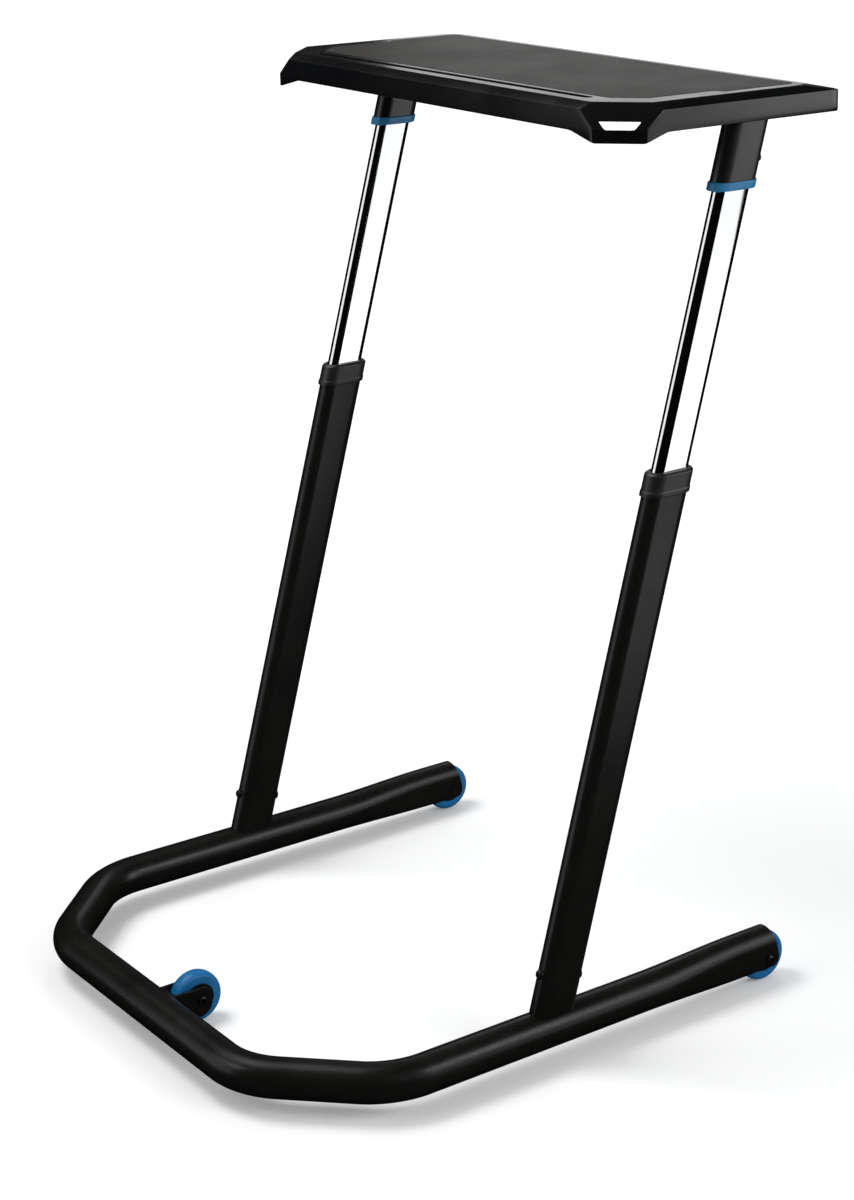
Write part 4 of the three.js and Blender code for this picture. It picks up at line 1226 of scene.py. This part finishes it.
        # Round the lower edge, whose inner side is broken by 0.4: inset, extra cut and height over the edge
        lower_edge = self.droop_at(self.outline(0.0, 0.0, self.lip, self.fascia_corner))
        for side, extra, lift in (
            (wall, inner_cut, 0.4), (wall - 0.4, inner_cut - 0.6, 0.0), (edge, 0.0, 0.0), (0.4, 0.0, 0.35),
            (0.0, 0.0, edge),
        ):
            plan = self.outline(side, side, self.lip + lift, self.fascia_corner - side, extra)
            plans.append((plan, lower_edge + lift))
        # Up the fascia, past the facets' bend, and over the bevel to the top: inset and height
        for side, lift in (
            (0.0, bend - self.lip_bend - self.fascia_top), (0.0, bend + self.lip_bend - self.fascia_top),
            (0.0, -edge), (0.25, -0.25), (edge, slant), (inset - edge, drop - slant), (inset, drop - 0.2),
            (inset + edge, drop), (inset + 2 * edge, drop),
        ):
            share = np.clip(side / inset, 0, 1)
            corner = self.fascia_corner + share * (self.rim_corner - self.fascia_corner)
            height = self.fascia_top + lift
            plans.append((self.outline(side, side * self.rider_bevel / inset, height, corner), height))
        return loft(level_rings(plans))

    def mat_outline(self, grow: float) -> np.ndarray:
        """The mat's plan: narrow in front, a small step, then wider, with cut front corners.

        Args:
            grow: how far outside the mat the outline lies.

        Returns:
            Points in plan.
        """
        narrow, wide = (self.width / 2 - side + grow for side in (self.mat_side, self.mat_side_wide))
        front, back = self.front + self.mat_front - grow, self.back - self.mat_back + grow
        step = self.front + self.mat_step
        right = [
            (narrow - self.mat_cut, front), (narrow, front + self.mat_cut), (narrow, step),
            (wide, step + self.mat_step_slope), (wide, back),
        ]
        radii = [*self.mat_corners, *reversed(self.mat_corners)]
        return rounded(mirrored(right), radii, self.mat_corner_steps)

    def slot_cutter(self, side: int) -> Skin:
        """The trapezoid slot through a front corner, drawn across the corner's diagonal.

        Args:
            side: -1 for the left corner, 1 for the right one.

        Returns:
            The closed skin to cut away.
        """
        base, wide, narrow = self.lip + self.slot_above, self.slot_half_top, self.slot_half_foot
        rise = base + self.slot_rise
        corners = [(-narrow, base), (narrow, base), (wide, rise), (-wide, rise)]
        outline = rounded(corners, self.slot_corner, self.slot_corner_steps)
        up = np.array([0.0, 0.0, 1.0])
        out = np.array([side, -1.0, 0.0]) / math.sqrt(2)
        corner = np.array([side * self.width / 2, self.front, 0.0])
        flat = outline[:, :1] * np.cross(up, out) + outline[:, 1:] * up + corner
        return loft(np.stack([flat - out * self.slot_depth, flat + out * self.past]))

    def groove_cutter(self) -> Skin:
        """The long groove near the front edge, with round ends and a soft mouth.

        Returns:
            The closed skin to cut away.
        """
        half, depth = self.groove_half, self.groove_depth
        y = self.front + self.groove_front + half
        angle = np.linspace(-np.pi / 2, np.pi / 2, self.groove_points)
        plans = []
        # Rounded floor, upright wall, sloped mouth and clear of the deck: growth and height of each ring
        for grow, height in ((-0.8, -depth), (0.0, 0.8 - depth), (0.0, -0.9), (0.9, 0.05), (0.9, 4.0)):
            reach = half + grow
            end = np.stack([self.groove_reach + reach * np.cos(angle), y + reach * np.sin(angle)], 1)
            plans.append((np.concatenate([end, (end * [-1, 1])[::-1]]), self.top + height))
        return loft(level_rings(plans))

    def mat(self) -> Skin:
        """The mat, with a small round under it and a softly rolled upper edge.

        Returns:
            The closed skin.
        """
        floor, thick = self.top - self.mat_recess, self.mat_thickness
        # How far each ring lies outside the mat's outline, and its height over the recess
        steps = (
            (-0.4, 0.0), (0.0, 0.4), (0.0, thick - 0.7), (-0.2, thick - 0.2), (-0.8, thick), (-1.6, thick),
        )
        return loft(level_rings([(self.mat_outline(grow), floor + height) for grow, height in steps]))

    def underside(self) -> Skin:
        """Ribs across the tray, with bays for the rails, and the trough under the groove.

        Returns:
            The closed skins as one.
        """
        into_deck, skins = self.deck_under + self.sunk, []
        last = (self.rib_last, self.back - self.front - self.rib_back)
        for x in np.array(self.rib_shares) * self.width:
            for start, end in (*self.rib_stretches, last):
                low, high = (x - self.rib_half, self.front + start), (x + self.rib_half, self.front + end)
                rib = rounded(rectangle(low, high), self.rib_edge)
                skins.append(prism(rib, self.deck_under - self.rib_depth, into_deck, (0, 1, 2)))
        y = self.front + self.groove_front + self.groove_half
        half, reach = self.trough_half, self.trough_reach
        trough = rounded(rectangle((-reach, y - half), (reach, y + half)), self.trough_corner)
        skins.append(prism(trough, self.top - self.trough_depth, into_deck, (0, 1, 2)))
        return skins[0].joined(*skins[1:])

    def build(self) -> None:
        """Makes the tray, its ribs and trough, and the mat, and dresses the rails and screws."""
        recess = self.mat_outline(self.mat_gap)
        cutters = [
            prism(recess, self.top - self.mat_recess, self.top + self.past, (0, 1, 2)), self.groove_cutter(),
            self.slot_cutter(-1), self.slot_cutter(1),
        ]
        tray = carved(to_mesh("tray", self.shell()), cutters)
        finish_piece("moulded_tray", tray, TRAY_ABS, "desk", ["desktop_shell"], sharp_deg=24.0)
        finish_piece("tray_ribs", to_mesh("ribs", self.underside()), TRAY_ABS, "desk")
        mat = to_mesh("mat", self.mat())
        finish_piece("embossed_mat", mat, MAT_FOAM, "desk", ["desktop_mat"], sharp_deg=30.0)
        for node in ("front_desk_rail", "rear_desk_rail"):
            refined(node, POWDER_COAT, "desk", self.rail_edge)
        for name in SIDES:
            for index in (1, 2):
                dress_node(f"{name}_desk_screw_{index}", BLACK_ZINC)


@dataclass(frozen=True)
class Lamp:
    """A square soft light: where it stands, its side in metres and its watts."""

    name: str
    place: tuple[float, float, float]
    side: float
    watts: float

    def build(self, target: Sequence[float]) -> None:
        """Sets the lamp up.

        Args:
            target: what it faces.
        """
        data = bpy.data.lights.new(self.name, "AREA")
        data.size, data.energy = self.side, self.watts
        lamp = placed(self.name, data)
        lamp.location = self.place
        lamp.rotation_mode = "QUATERNION"
        lamp.rotation_quaternion = (Vector(target) - Vector(self.place)).to_track_quat("-Z", "Y")


@dataclass(frozen=True)
class Card:
    """A curved card that only mirror-like surfaces see, as a photographer sets to draw dark gloss.

    Its ends lie in two directions from the desk, in degrees anticlockwise from X. Its two curved edges
    are arcs round the desk, each at its own distance and height in metres, so that a card lies on the
    floor, stands or leans inward overhead. Most are black. A card with a glow is lit by itself.
    """

    name: str
    ends_deg: Pair
    near: Pair
    far: Pair
    colour: str = "060606"
    glow: float = 0.0
    steps: int = 32

    def build(self) -> None:
        """Sets the card up."""
        count = self.steps + 1
        angle = np.radians(np.linspace(*self.ends_deg, count))
        edges = [
            np.stack([reach * np.cos(angle), reach * np.sin(angle), np.full(count, height)], 1)
            for reach, height in (self.near, self.far)
        ]
        row = np.arange(self.steps)
        faces = np.stack([row, row + 1, row + 1 + count, row + count], 1)
        mesh = bpy.data.meshes.new(self.name)
        mesh.from_pydata(np.concatenate(edges).tolist(), [], faces.tolist())
        card = placed(self.name, mesh)
        card.visible_camera = card.visible_diffuse = card.visible_shadow = card.visible_transmission = False
        material, tree = bare_material(f"{self.name}_paint")
        if self.glow > 0:
            paint = add_node(tree, "Emission", {"Color": linear(self.colour), "Strength": self.glow})
        else:
            paint = add_node(tree, "BsdfDiffuse", {"Color": linear(self.colour)})
        add_node(tree, "OutputMaterial", {}, {"Surface": paint.outputs[0]})
        mesh.materials.append(material)


LAMPS = (
    Lamp("key_light", (-1.3, -1.0, 3.5), 1.6, 80.0),
    Lamp("front_light", (-0.6, -3.2, 3.4), 2.2, 34.0),
    Lamp("side_light", (3.4, 1.2, 2.6), 2.0, 60.0),
    Lamp("rear_side_light", (2.6, 3.35, 1.4), 1.8, 23.0),
    Lamp("back_light", (-2.6, 2.4, 2.8), 2.0, 25.0),
)
CARDS = (
    Card("near_floor_card", (0.0, 360.0), (0.0, 0.001), (1.6, 0.001)),
    Card("back_floor_card", (44.0, 224.0), (1.6, 0.001), (11.5, 0.001)),
    Card("front_floor_card", (-98.0, 22.0), (1.6, 0.001), (11.5, 0.001)),
    Card("front_card", (-98.0, 22.0), (2.6, 0.01), (2.6, 2.4)),
    Card("left_card", (60.0, 224.0), (2.6, 0.01), (2.6, 1.2)),
    Card("left_upper_card", (146.0, 224.0), (2.6, 1.2), (2.6, 2.4)),
    Card("back_card", (125.0, 146.0), (2.8, 1.2), (2.7, 2.0), "ffffff", 1.0),
    Card("back_side_card", (60.0, 125.0), (2.8, 1.2), (2.7, 2.0), "606060"),
    Card("back_upper_card", (60.0, 146.0), (2.7, 2.0), (2.6, 2.4), "505050"),
    Card("overhead_card", (0.0, 360.0), (2.6, 2.4), (0.0, 4.2), "1c1c1c"),
)


@dataclass
class Studio:
    """Floor, light and camera of the photograph."""

    image_height: float = 1200.0
    focal_px: float = 2557.41
    azimuth_deg: float = 52.805
    elevation_deg: float = 16.786
    roll_deg: float = -0.526
    # The photograph is cut out off centre, so the lens is shifted by part of that
    shift_px: Pair = (-125.0, -90.0)
    camera_place: tuple[float, float, float] = (2.7125, -1.7906, 1.6168)
    # Where the lamps aim
    middle: tuple[float, float, float] = (0.0, 0.0, 0.7)
    floor_reach: float = 12.0
    floor_height: float = -0.0006
    paper: str = "e2e2e2"
    # Distance from the desk and strength of the floor's glow, where it starts to grow and where it stops
    glow_from: Pair = (0.6, 0.14)
    glow_to: Pair = (5.0, 0.75)
    fill: str = "f4f6f8"
    fill_strength: float = 0.5

    def camera(self) -> None:
        """Sets the camera where the photograph was taken from.

        The camera looks back along its azimuth and elevation, and leans by its roll.
        """
        turn, lift, roll = np.radians([self.azimuth_deg, self.elevation_deg, self.roll_deg])
        back = np.array([np.sin(turn) * np.cos(lift), -np.cos(turn) * np.cos(lift), np.sin(lift)])
        right = np.array([np.cos(turn), np.sin(turn), 0.0])
        up = np.cross(back, right)
        right, up = np.cos(roll) * right + np.sin(roll) * up, -np.sin(roll) * right + np.cos(roll) * up
        data = bpy.data.cameras.new("photo_camera")
        data.sensor_width = 36.0
        data.lens = self.focal_px * data.sensor_width / self.image_height
        data.shift_x, data.shift_y = (shift / self.image_height for shift in self.shift_px)
        data.clip_end = 100.0
        camera = placed("photo_camera", data)
        turned = Matrix([right, up, back]).transposed().to_4x4()
        camera.matrix_world = Matrix.Translation(Vector(self.camera_place)) @ turned
        bpy.context.scene.camera = camera

    def floor(self) -> None:
        """A pale floor that keeps the object's soft shadow and meets the white background further out.

        To the camera and to gloss the paper glows a little, and the glow grows evenly with the distance
        from the object, because the lamps reach less far. From below the floor is clear, so that the
        desk's underside can be seen.
        """
        mesh = bpy.data.meshes.new("studio_floor")
        corners = rectangle((-self.floor_reach, -self.floor_reach), (self.floor_reach, self.floor_reach))
        mesh.from_pydata(np.c_[corners, np.full(4, self.floor_height)].tolist(), [], [(0, 1, 2, 3)])
        floor = placed("studio_floor", mesh)
        material, tree = bare_material("studio_paper")
        ray = add_node(tree, "LightPath")
        paper = add_node(tree, "BsdfDiffuse", {"Color": linear(self.paper)})
        where = add_node(tree, "TexCoord")
        away = add_node(tree, "VectorMath", {"operation": "LENGTH"}, {0: where.outputs["Object"]})
        (near, weak), (far, strong) = self.glow_from, self.glow_to
        growth = add_node(
            tree,
            "MapRange",
            {"From Min": near, "From Max": far, "To Min": weak, "To Max": strong},
            {"Value": away.outputs["Value"]},
        )
        glow = add_node(tree, "Emission", {"Color": linear("ffffff")}, {"Strength": growth.outputs["Result"]})
        both = add_node(tree, "AddShader", {}, {0: paper.outputs[0], 1: glow.outputs[0]})
        rays = {0: ray.outputs["Is Camera Ray"], 1: ray.outputs["Is Glossy Ray"]}
        seen = add_node(tree, "Math", {"operation": "MAXIMUM"}, rays)
        mixed = add_node(tree, "MixShader", {}, {0: seen.outputs[0], 1: paper.outputs[0], 2: both.outputs[0]})
        side = add_node(tree, "NewGeometry").outputs["Backfacing"]
        clear = add_node(tree, "BsdfTransparent")
        shown = add_node(tree, "MixShader", {}, {0: side, 1: mixed.outputs[0], 2: clear.outputs[0]})
        add_node(tree, "OutputMaterial", {}, {"Surface": shown.outputs[0]})
        mesh.materials.append(material)

    def world(self) -> None:
        """White where the camera, gloss or clear pieces look; a plain grey fill for the rest."""
        world = bpy.data.worlds.new("studio_world")
        world.use_nodes = True
        tree = world.node_tree
        tree.nodes.clear()
        ray = add_node(tree, "LightPath").outputs
        fill = add_node(tree, "Background", {"Color": linear(self.fill), "Strength": self.fill_strength})
        white = add_node(tree, "Background", {"Color": linear("ffffff"), "Strength": 1.0})
        rays = {0: ray["Is Glossy Ray"], 1: ray["Is Transmission Ray"]}
        gloss = add_node(tree, "Math", {"operation": "MAXIMUM"}, rays)
        rays = {0: ray["Is Camera Ray"], 1: gloss.outputs[0]}
        seen = add_node(tree, "Math", {"operation": "MAXIMUM"}, rays)
        mixed = add_node(tree, "MixShader", {}, {0: seen.outputs[0], 1: fill.outputs[0], 2: white.outputs[0]})
        add_node(tree, "OutputWorld", {}, {"Surface": mixed.outputs[0]})
        bpy.context.scene.world = world

    def build(self) -> None:
        """Sets up the whole studio."""
        self.camera()
        self.floor()
        self.world()
        for lamp in LAMPS:
            lamp.build(self.middle)
        for card in CARDS:
            card.build()


def main() -> None:
    """Builds every sub-assembly, then the studio."""
    logging.basicConfig(level=logging.INFO, format="%(message)s")
    bpy.context.scene.view_settings.view_transform = "Standard"
    base = BaseTube()
    base.build()
    for name in ("centre", *SIDES):
        Wheel(name).build()
    for name in SIDES:
        Post(name, base).build()
    Desktop().build()
    Studio().build()


if __name__ == "__main__":
    main()
